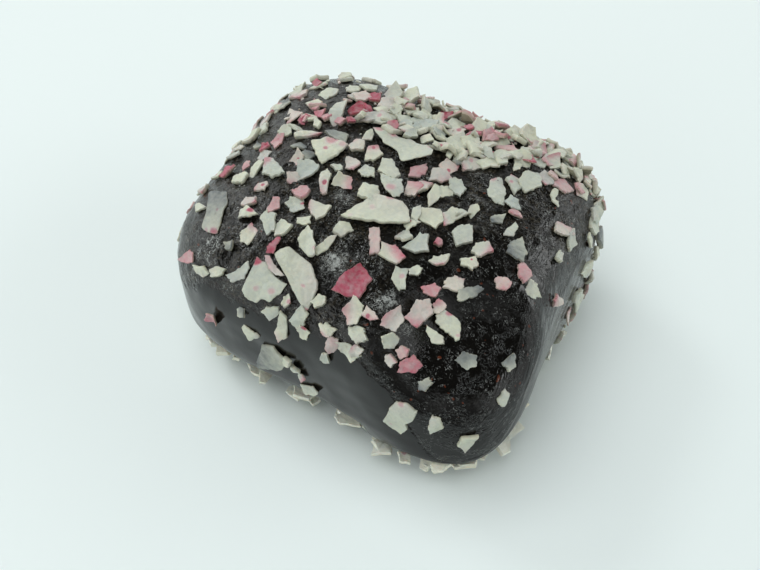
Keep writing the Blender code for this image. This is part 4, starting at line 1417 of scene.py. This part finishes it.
    def foot_small(self, seed: int) -> Scatter:
        """Small shards round the foot: the foot's ring once more, with more and smaller ones.

        Args:
            seed: picks their draws.

        Returns:
            The shards.
        """
        rng = np.random.default_rng(seed)
        ring = replace(
            self, foot_count=64, foot_height=-0.4 * MM, foot_length=1.3 * MM, foot_width=1.1 * MM,
            foot_shift=0.45,
        )
        seat, axes, size = ring.foot_ring(rng)
        count = len(seat)
        draw = rng.uniform(0.0, 1.0, (count, self.draws))
        tone = np.array([Tone.IVORY.value] * count)
        return Scatter(seat, axes, size, draw, np.full(count, self.lean_foot_small), np.zeros(count), tone)

    def loose(self, loose: Loose) -> Scatter:
        """Shards or crumbs at the first tries that have enough cover, at least half as wide as long.

        Args:
            loose: how many, how large, and where.

        Returns:
            The shards.
        """
        rng = np.random.default_rng(loose.seed)
        spots, axes = self.tries(rng)
        there = np.flatnonzero(self.cover.share(spots) >= loose.least_cover)[:loose.count]
        count = len(there)
        long = rng.uniform(*loose.length, count)
        wide = long * rng.uniform(0.5, 1.0, count)
        size = np.column_stack((long, wide, rng.uniform(0.0, math.pi, count)))
        draw = rng.uniform(0.0, 1.0, (count, self.draws))
        raised = rng.uniform(*loose.lift, count)
        tone = picked_tones(rng, count, self.chances)
        return Scatter(spots[there], axes[there], size, draw, np.full(count, loose.lean), raised, tone)


@dataclass(frozen=True)
class Cut:
    """How finely shards are cut: points round the outline, and the scale and level of each ring.

    The rings run from the middle of the upper face over the edge to the middle of the lower face, and
    a level of 1 is the upper face, -1 the lower one.
    """

    around: int
    rings: tuple[tuple[float, float], ...]

    def level(self) -> np.ndarray:
        """The level of each point of a shard."""
        return np.concatenate(([1.0], np.repeat([ring[1] for ring in self.rings], self.around), [-1.0]))

    def filled(self, outline: np.ndarray, centre: np.ndarray) -> np.ndarray:
        """Points of the rings of each outline: the centre, every ring drawn in towards it, the centre.

        Args:
            outline: points as shards by around by two.
            centre: the middle of each.

        Returns:
            Points as shards by points by two.
        """
        scale = np.array([ring[0] for ring in self.rings])[:, None, None]
        middle = centre[:, None, None]
        rings = middle + (outline[:, None] - middle) * scale
        ends = centre[:, None]
        return np.concatenate((ends, rings.reshape(len(outline), -1, 2), ends), axis=1)

    def faces(self, number: int) -> list[np.ndarray]:
        """Faces of so many shards: a fan above, bands between the rings, and a fan below.

        Args:
            number: how many shards.

        Returns:
            Quads and triangles as rows of vertex numbers.
        """
        count = len(self.rings)
        ring = 1 + np.arange(count * self.around).reshape(count, self.around)
        after = np.roll(ring, -1, axis=1)
        last = 1 + count * self.around
        bands = np.stack((ring[:-1], ring[1:], after[1:], after[:-1]), axis=-1).reshape(-1, 4)
        upper = np.stack((np.zeros(self.around, int), ring[0], after[0]), axis=-1)
        lower = np.stack((np.full(self.around, last), after[-1], ring[-1]), axis=-1)
        start = (np.arange(number) * (last + 1))[:, None, None]
        return [
            (rows[None] + start).reshape(-1, rows.shape[1])
            for rows in (bands, np.concatenate((upper, lower)))
        ]


EDGE = ((0.95, 1.0), (1.0, 0.45), (0.995, -0.6), (0.9, -1.0), (0.45, -1.0))
DRAWN_CUT = Cut(64, ((0.3, 1.0), (0.55, 1.0), (0.78, 1.0), *EDGE))
PLACED_CUT = Cut(40, ((0.35, 1.0), (0.7, 1.0), *EDGE))
STREWN_CUT = Cut(15, ((0.55, 1.0), (0.93, 1.0), (1.0, 0.2), (0.95, -0.9)))
CRUMB_CUT = Cut(7, ((0.85, 1.0), (1.0, -0.3)))


@dataclass(frozen=True)
class Kind:
    """A kind of shard, which is one piece.

    It has a cut, the seed of its draws, a greatest curl as a share of the half size, and a mean
    thickness in metres.  The kinds round the foot take a lighter copy of the coconut, painted light
    that lifts them out of the shade.
    """

    name: str
    cut: Cut
    seed: int
    curl: float
    thickness: float
    clean: bool = False


DRAWN = Kind("drawn_shards", DRAWN_CUT, 50, 0.07, 0.25 * MM)
PLACED = Kind("placed_shards", PLACED_CUT, 51, 0.36, 0.26 * MM)
# The foot's kinds take the lighter copy of the coconut: painted light against the shade under the block.
FOOT = Kind("foot_shards", STREWN_CUT, 52, 0.30, 0.38 * MM, clean=True)
FOOT_SMALL = Kind("foot_small", STREWN_CUT, 57, 0.30, 0.36 * MM, clean=True)
STREWN = Kind("strewn_shards", STREWN_CUT, 53, 0.34, 0.30 * MM)
SMALL = Kind("small_shards", PLACED_CUT, 54, 0.38, 0.26 * MM)
PILED = Kind("piled_shards", STREWN_CUT, 55, 0.35, 0.30 * MM)
CRUMBS = Kind("crumbs", CRUMB_CUT, 56, 0.10, 0.15 * MM)

SMALL_SEED = 61
FOOT_SMALL_SEED = 64
PILED_LOOSE = Loose(62, 75, 0.6, (1.1 * MM, 1.8 * MM), (0.1 * MM, 0.4 * MM), math.radians(55.0))
CRUMBS_LOOSE = Loose(63, 420, 0.0, (0.2 * MM, 0.6 * MM), (0.0, 0.15 * MM), math.radians(50.0))


@dataclass
class Sheets:
    """Shards as flat or bent sheets without thickness, ready to be dressed.

    Local holds each point's place along, sideways and outwards of its shard's axes.  Spots are
    across, up, radius and strength in the same places as flat, in metres.
    """

    seat: np.ndarray
    axes: np.ndarray
    local: np.ndarray
    flat: np.ndarray
    size: np.ndarray
    tone: np.ndarray
    spots: np.ndarray


@dataclass(frozen=True)
class ShardMaker:
    """Turns seats into thin torn shards: jagged outlines, curled and folded sheets, thin edges.

    Pairs are the least and the most of a draw.
    """

    block: Block
    angle_stray: float = 0.5
    radius_stray: float = 0.4
    taper_stray: float = 0.45
    jag: float = 0.07 * MM
    jag_draws: Span = (-1.0, 0.8)
    jag_rough: float = 0.6
    jag_smooth: float = 0.7
    jag_whole: float = 1.4 * MM
    lumps: Corners = ((0.9 * MM, 0.12 * MM), (0.4 * MM, 0.055 * MM))
    lump_step: float = 3.7 * MM
    hug: float = 0.9
    sink: float = 0.08 * MM
    floor_clearance: float = 0.12 * MM
    outline_seed: int = 20
    spot_chance: float = 0.14
    spot_reach: Span = (0.1, 0.6)
    spot_radius: Span = (0.12, 0.32)
    spot_strength: Span = (0.35, 0.9)
    fold_chance: float = 0.5
    thicknesses: Span = (0.55, 1.5)
    bedding: float = 0.9
    sharp_angle: float = math.radians(38.0)
    stain_start: Span = (0.2, 0.7)
    stain_whole: float = 1.05
    stain_power: float = 1.5
    even_stains: Span = (0.6, 1.3)
    end_stains: Span = (0.5, 1.3)
    shade_mean: float = 0.25
    shade_spread: float = 0.27
    shade_tilt: float = 0.35
    shade_most: float = 0.9
    film_least: float = 0.4
    film_gain: float = 1.2
    # How much chocolate tint and painted shade the rim takes, from the upper face down to the lower one.
    rim_shade_levels: tuple[float, ...] = (-1.0, -0.4, 0.2, 1.0)
    rim_shade_tints: tuple[float, ...] = (0.0, 0.12, 0.55, 0.9)

    def drawn(self, shards: tuple[Drawn, ...], kind: Kind) -> Sheets:
        """Sheets of the shards that are drawn corner by corner.

        Formula in words: even steps along the outline's length, each jagged by a draw, are filled with
        rings, and every point is pushed onto the block as it lies on its face of the box.  Its height
        over the seat's plane counts by the hug, plus the rises beyond the creases.

        Args:
            shards: the shards.
            kind: their kind.

        Returns:
            The sheets.
        """
        rng = np.random.default_rng(kind.seed)
        cut = kind.cut
        seats, frames, locals_, flats, spots = [], [], [], [], []
        for shard in shards:
            corners = np.array(shard.corners) * MM
            outline = self.even_outline(corners, cut.around)
            centre = corners.mean(axis=0)
            outline += unit(outline - centre) * self.stray(1, cut.around, rng)[0]
            flat = cut.filled(outline[None], outline.mean(axis=0)[None])[0]
            seat, axes = self.block.seats(shard.face, centre[:1], centre[1:])
            there = self.block.surface(self.block.box_point(shard.face, flat[:, 0], flat[:, 1]))
            local = (there - seat) @ axes[0].T * (1.0, 1.0, self.hug)
            local[:, 2] += shard.raised * MM
            for across, up, bearing, slope in shard.creases:
                way = math.radians(bearing)
                beyond = (flat[:, 0] - across * MM) * math.sin(way) - (flat[:, 1] - up * MM) * math.cos(way)
                local[:, 2] += slope * np.maximum(0.0, beyond)
            seats.append(seat[0])
            frames.append(axes[0])
            locals_.append(local)
            flats.append(flat)
            rows = np.zeros((3, 4))
            rows[:, 2] = MM
            for index, spot in enumerate(shard.spots):
                rows[index] = np.array(spot) * (MM, MM, MM, 1.0)
            spots.append(rows)
        local = np.array(locals_)
        size = np.ptp(local, axis=1)[:, :2]
        tone = np.array([shard.tone.value for shard in shards])
        return Sheets(np.array(seats), np.array(frames), local, np.array(flats), size, tone, np.array(spots))

    def stray(self, number: int, around: int, rng: np.random.Generator) -> np.ndarray:
        """How far outline points stray: draws, plus the sum of each three neighbouring draws.

        Args:
            number: how many outlines.
            around: points in each.
            rng: the source of the draws.

        Returns:
            Distances as outlines by around by one, in metres.
        """
        rough = rng.uniform(*self.jag_draws, (2, number, around, 1))
        smooth = rough[1] + np.roll(rough[1], 1, axis=1) + np.roll(rough[1], -1, axis=1)
        return self.jag * (self.jag_rough * rough[0] + self.jag_smooth * smooth)

    @staticmethod
    def even_outline(corners: np.ndarray, around: int) -> np.ndarray:
        """Points at even steps along a closed outline, turning left.

        Args:
            corners: rows of corners.
            around: how many points.

        Returns:
            Rows of points.
        """
        x, y = corners.T
        turning_left = np.sum(x * np.roll(y, -1) - y * np.roll(x, -1)) > 0.0
        closed = np.concatenate((corners, corners[:1]))
        closed = closed if turning_left else closed[::-1]
        run = np.concatenate(([0.0], np.cumsum(np.linalg.norm(np.diff(closed, axis=0), axis=1))))
        walk = np.arange(around) / around * run[-1]
        return np.stack((np.interp(walk, run, closed[:, 0]), np.interp(walk, run, closed[:, 1])), axis=1)

    def outlines(self, shards: Scatter, around: int, rng: np.random.Generator) -> np.ndarray:
        """Jagged outlines of shards with drawn-by-lot corners, in their own planes.

        Formula in words: corners stand at evenly spaced angles and a radius of 1, both strayed by
        draws, the height of a corner grows or shrinks along the length, and the polygon is fitted to
        the shard's length and width.  The outline walks its edges and strays inwards or outwards.

        Args:
            shards: the shards.
            around: how many points each outline has, a multiple of the corners.
            rng: the source of the jags.

        Returns:
            Points as shards by around by two.
        """
        draw = shards.draw
        count = (draw.shape[1] - 4) // 2
        steps = np.arange(count) + self.angle_stray * (draw[:, :count] - 0.5) + draw[:, -1:]
        angle = 2.0 * math.pi * steps / count
        radius = 1.0 - self.radius_stray * draw[:, count:2 * count]
        x = radius * np.cos(angle)
        y = radius * np.sin(angle)
        y = y * (1.0 + self.taper_stray * (2.0 * draw[:, -2:-1] - 1.0) * x)
        corner = np.stack((x, y), axis=-1)
        low = corner.min(axis=1, keepdims=True)
        corner = (corner - low) / np.ptp(corner, axis=1)[:, None] - 0.5
        corner *= shards.size[:, None, :2]
        walk = np.arange(around) * count / around
        first = walk.astype(int)
        share = (walk - first)[:, None]
        outline = corner[:, first] * (1.0 - share) + corner[:, (first + 1) % count] * share
        shrink = np.minimum(1.0, shards.size[:, None, 1:2] / self.jag_whole)
        return outline + unit(outline) * shrink * self.stray(len(corner), around, rng)

    @staticmethod
    def leant(shards: Scatter) -> np.ndarray:
        """Axes of the shards: each seat's frame turned about outwards, then leant to a drawn side.

        Args:
            shards: the shards.

        Returns:
            The rows along, sideways and outwards of each.
        """
        turn = shards.size[:, 2:3]
        along = np.cos(turn) * shards.frame[:, 0] + np.sin(turn) * shards.frame[:, 1]
        sideways = np.cos(turn) * shards.frame[:, 1] - np.sin(turn) * shards.frame[:, 0]
        bearing = 2.0 * math.pi * shards.draw[:, -3:-2]
        tip = np.cos(bearing) * along + np.sin(bearing) * sideways
        amount = shards.lean[:, None] * (2.0 * shards.draw[:, -4:-3] - 1.0)
        outwards = unit(shards.frame[:, 2] + np.tan(amount) * tip)
        along = unit(along - outwards * np.sum(along * outwards, axis=1, keepdims=True))
        return np.stack((along, np.cross(outwards, along), outwards), axis=1)

    def ruled(self, shards: Scatter, kind: Kind) -> Sheets:
        """Sheets of shards with drawn-by-lot corners, some with a small spot.

        Args:
            shards: the shards.
            kind: their kind.

        Returns:
            The sheets.
        """
        rng = np.random.default_rng(kind.seed + self.outline_seed)
        number = len(shards.seat)
        outline = self.outlines(shards, kind.cut.around, rng)
        flat = kind.cut.filled(outline, outline.mean(axis=1))
        local = np.concatenate((flat, np.zeros((*flat.shape[:2], 1))), axis=2)
        seat = shards.seat + shards.lift[:, None] * shards.frame[:, 2]
        bearing = rng.uniform(0.0, 2.0 * math.pi, number)
        reach = rng.uniform(*self.spot_reach, number)
        strength = rng.uniform(*self.spot_strength, number)
        strength = strength * (rng.uniform(0.0, 1.0, number) < self.spot_chance)
        across = np.cos(bearing) * reach * 0.5 * shards.size[:, 0]
        up = np.sin(bearing) * reach * 0.5 * shards.size[:, 1]
        spot = np.stack((across, up, rng.uniform(*self.spot_radius, number) * MM, strength), axis=-1)
        return Sheets(seat, self.leant(shards), local, flat, shards.size[:, :2], shards.tone, spot[:, None])

    def build(self, kind: Kind, sheets: Sheets, finish: bpy.types.Material) -> bpy.types.Object:
        """Make one piece of many shards.

        Formula in words: a sheet is curled about a drawn line through its middle, falling by the curl
        times the half size times the square of the share of the way out.  Half of the sheets are also
        folded about another line, falling in proportion to the way out, and all waver by noise.  A
        sheet that would sink by more than the sink is raised to it.  Each point is then raised or
        lowered by its level times half of the thickness.

        Args:
            kind: their kind.
            sheets: the shards.
            finish: the material.

        Returns:
            The piece.
        """
        rng = np.random.default_rng(kind.seed)
        number, each = sheets.local.shape[:2]
        half = 0.5 * sheets.size.max(axis=1, keepdims=True)
        middle = sheets.local[:, :, :2] - sheets.local[:, :, :2].mean(axis=1, keepdims=True)

        def way_out() -> np.ndarray:
            """Share of the way out from a drawn line, for each point."""
            crease = rng.uniform(0.0, math.pi, (number, 1))
            return (middle[:, :, 0] * np.cos(crease) + middle[:, :, 1] * np.sin(crease)) / half

        bow = way_out() ** 2
        fold = np.abs(way_out())
        amount = rng.uniform(-1.0, 1.0, (number, 1)) * kind.curl * half
        folded = rng.uniform(-1.0, 1.0, (number, 1))
        folded = folded * (rng.uniform(0.0, 1.0, (number, 1)) < self.fold_chance) * kind.curl * half
        rise = -amount * (bow - bow.mean(axis=1, keepdims=True))
        rise -= folded * (fold - fold.mean(axis=1, keepdims=True))
        place = np.concatenate((sheets.local[:, :, :2], np.zeros((number, each, 1))), axis=2)
        place[:, :, 2] = (np.arange(number) * self.lump_step)[:, None]
        for cell, depth in self.lumps:
            rise += depth * lattice_noise(place.reshape(-1, 3), cell, kind.seed).reshape(number, each)
        height = sheets.local[:, :, 2] + rise - np.minimum(0.0, rise.min(axis=1, keepdims=True) + self.sink)
        thick = kind.thickness * rng.uniform(*self.thicknesses, (number, 1))
        height += 0.5 * thick * (kind.cut.level() + self.bedding)

        local = np.concatenate((sheets.local[:, :, :2], height[:, :, None]), axis=2)
        points = sheets.seat[:, None] + np.einsum("nvk,nkc->nvc", local, sheets.axes)
        low = points[:, :, 2].min(axis=1, keepdims=True)
        points[:, :, 2] += np.maximum(0.0, self.floor_clearance - low)

        attributes = self.colours(sheets, middle, kind.cut, rng)
        piece = make_piece(kind.name, points.reshape(-1, 3), kind.cut.faces(number), attributes, finish)
        piece.data.set_sharp_from_angle(angle=self.sharp_angle)
        return piece

    def colours(self, sheets: Sheets, middle: np.ndarray, cut: Cut,
                rng: np.random.Generator) -> dict[str, np.ndarray]:
        """Rim, stain, film, shade and spots of every point.

        Formula in words: a share grows from 0 to 1 along a drawn bearing over the shard.  The stain
        rises from the even one to that of the stained end by a power of the share, the film grows
        with the share, and the shade is a drawn level that strays with it.  The rim, where a shard
        is tinted by the chocolate and darkened by painted shade, grows from the upper face down its
        edge.

        Args:
            sheets: the shards.
            middle: each point's place from the middle of its shard.
            cut: how finely they are cut.
            rng: the source of the draws.

        Returns:
            The values of every point, by attribute name.
        """
        number = len(middle)
        even, end, film = (sheets.tone[:, column:column + 1] for column in range(3))
        bearing = rng.uniform(0.0, 2.0 * math.pi, (number, 1))
        along = middle[:, :, 0] * np.cos(bearing) + middle[:, :, 1] * np.sin(bearing)
        share = (along - along.min(axis=1, keepdims=True)) / np.ptp(along, axis=1)[:, None]
        start = rng.uniform(*self.stain_start, (number, 1))
        rising = np.clip((share - start) / (self.stain_whole - start), 0.0, 1.0) ** self.stain_power
        stain = even * rng.uniform(*self.even_stains, (number, 1))
        stain = stain + (end - even) * rising * rng.uniform(*self.end_stains, (number, 1))
        shade = rng.normal(self.shade_mean, self.shade_spread, (number, 1)) + self.shade_tilt * (share - 0.5)
        # The rim: a chocolate tint and a painted shade, none on the upper face and most on the lower one.
        rim = np.interp(-cut.level(), self.rim_shade_levels, self.rim_shade_tints)
        fields = {
            "rim": np.broadcast_to(rim, share.shape).ravel(),
            "stain": np.clip(stain, 0.0, 1.0).ravel(),
            "film": np.clip(film * (self.film_least + self.film_gain * share), 0.0, 1.0).ravel(),
            "shade": np.clip(shade, 0.0, self.shade_most).ravel(),
        }
        for index in range(sheets.spots.shape[1]):
            spot = sheets.spots[:, index, None]
            place = (sheets.flat - spot[:, :, :2]) / spot[:, :, 2:3]
            strength = np.broadcast_to(spot[:, :, 3:], (*place.shape[:2], 1))
            fields["spot_" + "abc"[index]] = np.concatenate((place, strength), axis=2).reshape(-1, 3)
        return fields


@dataclass(frozen=True)
class Topping:
    """All the coconut: drawn, placed, strewn and piled shards, the foot's shards and crumbs."""

    block: Block

    def build(self, finish: bpy.types.Material, clean: bpy.types.Material) -> list[bpy.types.Object]:
        """Make the pieces of the topping.

        Args:
            finish: the coconut material.
            clean: a lighter copy of the coconut for the foot's shards, painted light against the shade there.

        Returns:
            The pieces, one for each kind.
        """
        strewing = Strewing(self.block)
        maker = ShardMaker(self.block)
        shards, by_hand, fixed = strewing.ruled(*self.kept_free())
        LOG.info("shards: %d placed, %d fixed, %d in all", by_hand, fixed, len(shards.seat))
        groups = (
            (PLACED, shards.part(0, by_hand)),
            (FOOT, shards.part(by_hand, fixed)),
            (FOOT_SMALL, strewing.foot_small(FOOT_SMALL_SEED)),
            (STREWN, shards.part(fixed)),
            (SMALL, strewing.small(SMALL_SEED)),
            (PILED, strewing.loose(PILED_LOOSE)),
            (CRUMBS, strewing.loose(CRUMBS_LOOSE)),
        )
        pieces = [maker.build(DRAWN, maker.drawn(DRAWN_SHARDS, DRAWN), finish)]
        for kind, scatter in groups:
            # The foot's kinds take the lighter copy, painted light against the shade under the block.
            pieces.append(maker.build(kind, maker.ruled(scatter, kind), clean if kind.clean else finish))
        return pieces

    def kept_free(self) -> tuple[np.ndarray, np.ndarray]:
        """Seats of the drawn shards and the radius that each keeps free, as the solid's rule has them.

        Returns:
            The seats and the radii.
        """
        seats, radii = [], []
        for shard in DRAWN_SHARDS:
            places = np.array(shard.corners) * MM
            middle = places.mean(axis=0)
            seat, axes = self.block.seats(shard.face, middle[:1], middle[1:])
            points = self.block.surface(self.block.box_point(shard.face, places[:, 0], places[:, 1]))
            local = (points - seat) @ axes[0].T
            seats.append(seat[0])
            radii.append(0.25 * np.ptp(local, axis=0)[:2].sum())
        return np.array(seats), np.array(radii)


# ----------------------------------------------------------------------------------------- the studio


@dataclass(frozen=True)
class Lamp:
    """A soft rectangular lamp, aimed at the praline."""

    name: str
    azimuth: float
    elevation: float
    distance: float
    size: tuple[float, float]
    radiance: float
    colour: Colour
    mirrored: bool

    def build(self, target: np.ndarray) -> None:
        """Hang the lamp.

        Args:
            target: the point that it faces.
        """
        data = bpy.data.lights.new(self.name, "AREA")
        data.shape = "RECTANGLE"
        data.size, data.size_y = self.size
        data.energy = self.radiance * self.size[0] * self.size[1] * math.pi
        data.color = self.colour
        lamp = bpy.data.objects.new(self.name, data)
        lamp.visible_glossy = self.mirrored
        aim(lamp, target, self.azimuth, self.elevation, self.distance)
        bpy.context.scene.collection.objects.link(lamp)


def aim(thing: bpy.types.Object, target: np.ndarray, azimuth: float, elevation: float,
        distance: float) -> None:
    """Place a camera or lamp round a target and turn it to face it.

    Args:
        thing: the camera or lamp.
        target: the point that it faces.
        azimuth: degrees from -Y towards +X.
        elevation: degrees above the floor.
        distance: metres from the target.
    """
    turn, climb = math.radians(azimuth), math.radians(elevation)
    back = np.array((math.sin(turn) * math.cos(climb), -math.cos(turn) * math.cos(climb), math.sin(climb)))
    thing.location = target + distance * back
    thing.rotation_euler = (math.pi / 2.0 - climb, 0.0, turn)


@dataclass(frozen=True)
class Studio:
    """A pale board, soft lamps, pale walls and the camera."""

    target: tuple[float, float, float] = (0.03 * MM, -1.64 * MM, 6.24 * MM)
    azimuth: float = 29.27
    elevation: float = 51.83
    distance: float = 90.1 * MM
    lens: float = 49.45
    sensor: float = 36.0
    clip_start: float = 5.0 * MM
    board_half: float = 1.5
    walls: Colour = (0.97, 1.0, 0.99)
    wall_radiance: float = 1.24
    wall_shares: Corners = ((0.0, 0.5), (0.2, 1.0), (0.46, 1.0), (0.62, 0.04))
    bright_side: tuple[float, float, float] = (-0.98, -0.17, 0.0)
    side_share: float = 0.20
    dim_side: tuple[float, float, float] = (0.57, -0.82, 0.0)
    dim_share: float = 0.85
    dim_reach: tuple[float, float] = (0.74, 0.93)
    lamps: tuple[Lamp, ...] = (
        Lamp("window", -100.0, 45.0, 1.0, (0.24, 0.18), 9.3, (0.97, 1.0, 1.0), True),
        Lamp("overhead", -40.0, 76.0, 1.0, (0.9, 0.9), 2.65, (0.97, 1.0, 1.0), False),
        Lamp("fill", 118.0, 24.0, 1.0, (0.6, 0.4), 2.4, (0.97, 1.0, 1.0), True),
    )

    def build(self, finish: bpy.types.Material) -> bpy.types.Object:
        """Set up the board, lamps, walls and camera.

        Args:
            finish: the board's material.

        Returns:
            The board.
        """
        target = np.array(self.target)
        half = self.board_half
        corners = np.array(((-half, -half, 0), (half, -half, 0), (half, half, 0), (-half, half, 0)))
        board = make_piece("board", corners, [np.array(((0, 1, 2, 3),))], {}, finish)
        for lamp in self.lamps:
            lamp.build(target)
        self.room()
        data = bpy.data.cameras.new("camera")
        data.lens = self.lens
        data.sensor_width = self.sensor
        data.clip_start = self.clip_start
        camera = bpy.data.objects.new("camera", data)
        aim(camera, target, self.azimuth, self.elevation, self.distance)
        bpy.context.scene.collection.objects.link(camera)
        bpy.context.scene.camera = camera
        bpy.context.scene.view_settings.view_transform = "Standard"
        return board

    def room(self) -> None:
        """Surround the praline with pale walls under a dark ceiling, the brighter towards one side.

        The height of each direction looks up the share of the walls' colour, and the direction's
        reach towards the bright side adds or takes a share of their radiance.  In a narrow part round
        the dim side they lose the dim share of it.
        """
        world = bpy.data.worlds.new("room")
        graph = ShaderGraph(world)
        direction = graph.node("ShaderNodeTexCoord", "Generated", {}, {})
        stops = [(height, tuple(share * part for part in self.walls)) for height, share in self.wall_shares]
        bright_side = [self.side_share * part for part in self.bright_side]
        reach = graph.vector("DOT_PRODUCT", direction, bright_side)
        strength = graph.math("MULTIPLY_ADD", reach, self.wall_radiance, self.wall_radiance)
        start, whole = self.dim_reach
        dimmed = graph.node("ShaderNodeMapRange", "Result", {}, {
            "Value": graph.vector("DOT_PRODUCT", direction, self.dim_side),
            "From Min": start, "From Max": whole, "To Min": 1.0, "To Max": 1.0 - self.dim_share,
        })
        colour = graph.ramp(graph.axis(direction, "Z"), stops)
        graph.feed_shader("Background", {"Color": colour, "Strength": strength * dimmed})
        bpy.context.scene.world = world


def main() -> None:
    """Build the praline and its studio, and report each piece."""
    logging.basicConfig(level=logging.INFO, format="%(name)s: %(message)s")
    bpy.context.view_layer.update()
    block = Block()
    coating = Coating(block).build(ChocolateFinish().build())
    topping = Topping(block).build(CoconutFinish().build(), BRIGHTENED_COCONUT.build())
    for piece, slot in [(coating, "dark_chocolate"), *((piece, "coconut") for piece in topping)]:
        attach(piece, BODY)
        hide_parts(CAD_NODE)
        LOG.info("%s: %d faces", piece.name, len(piece.data.polygons))
    board = Studio().build(TableFinish().build())


if __name__ == "__main__":
    main()
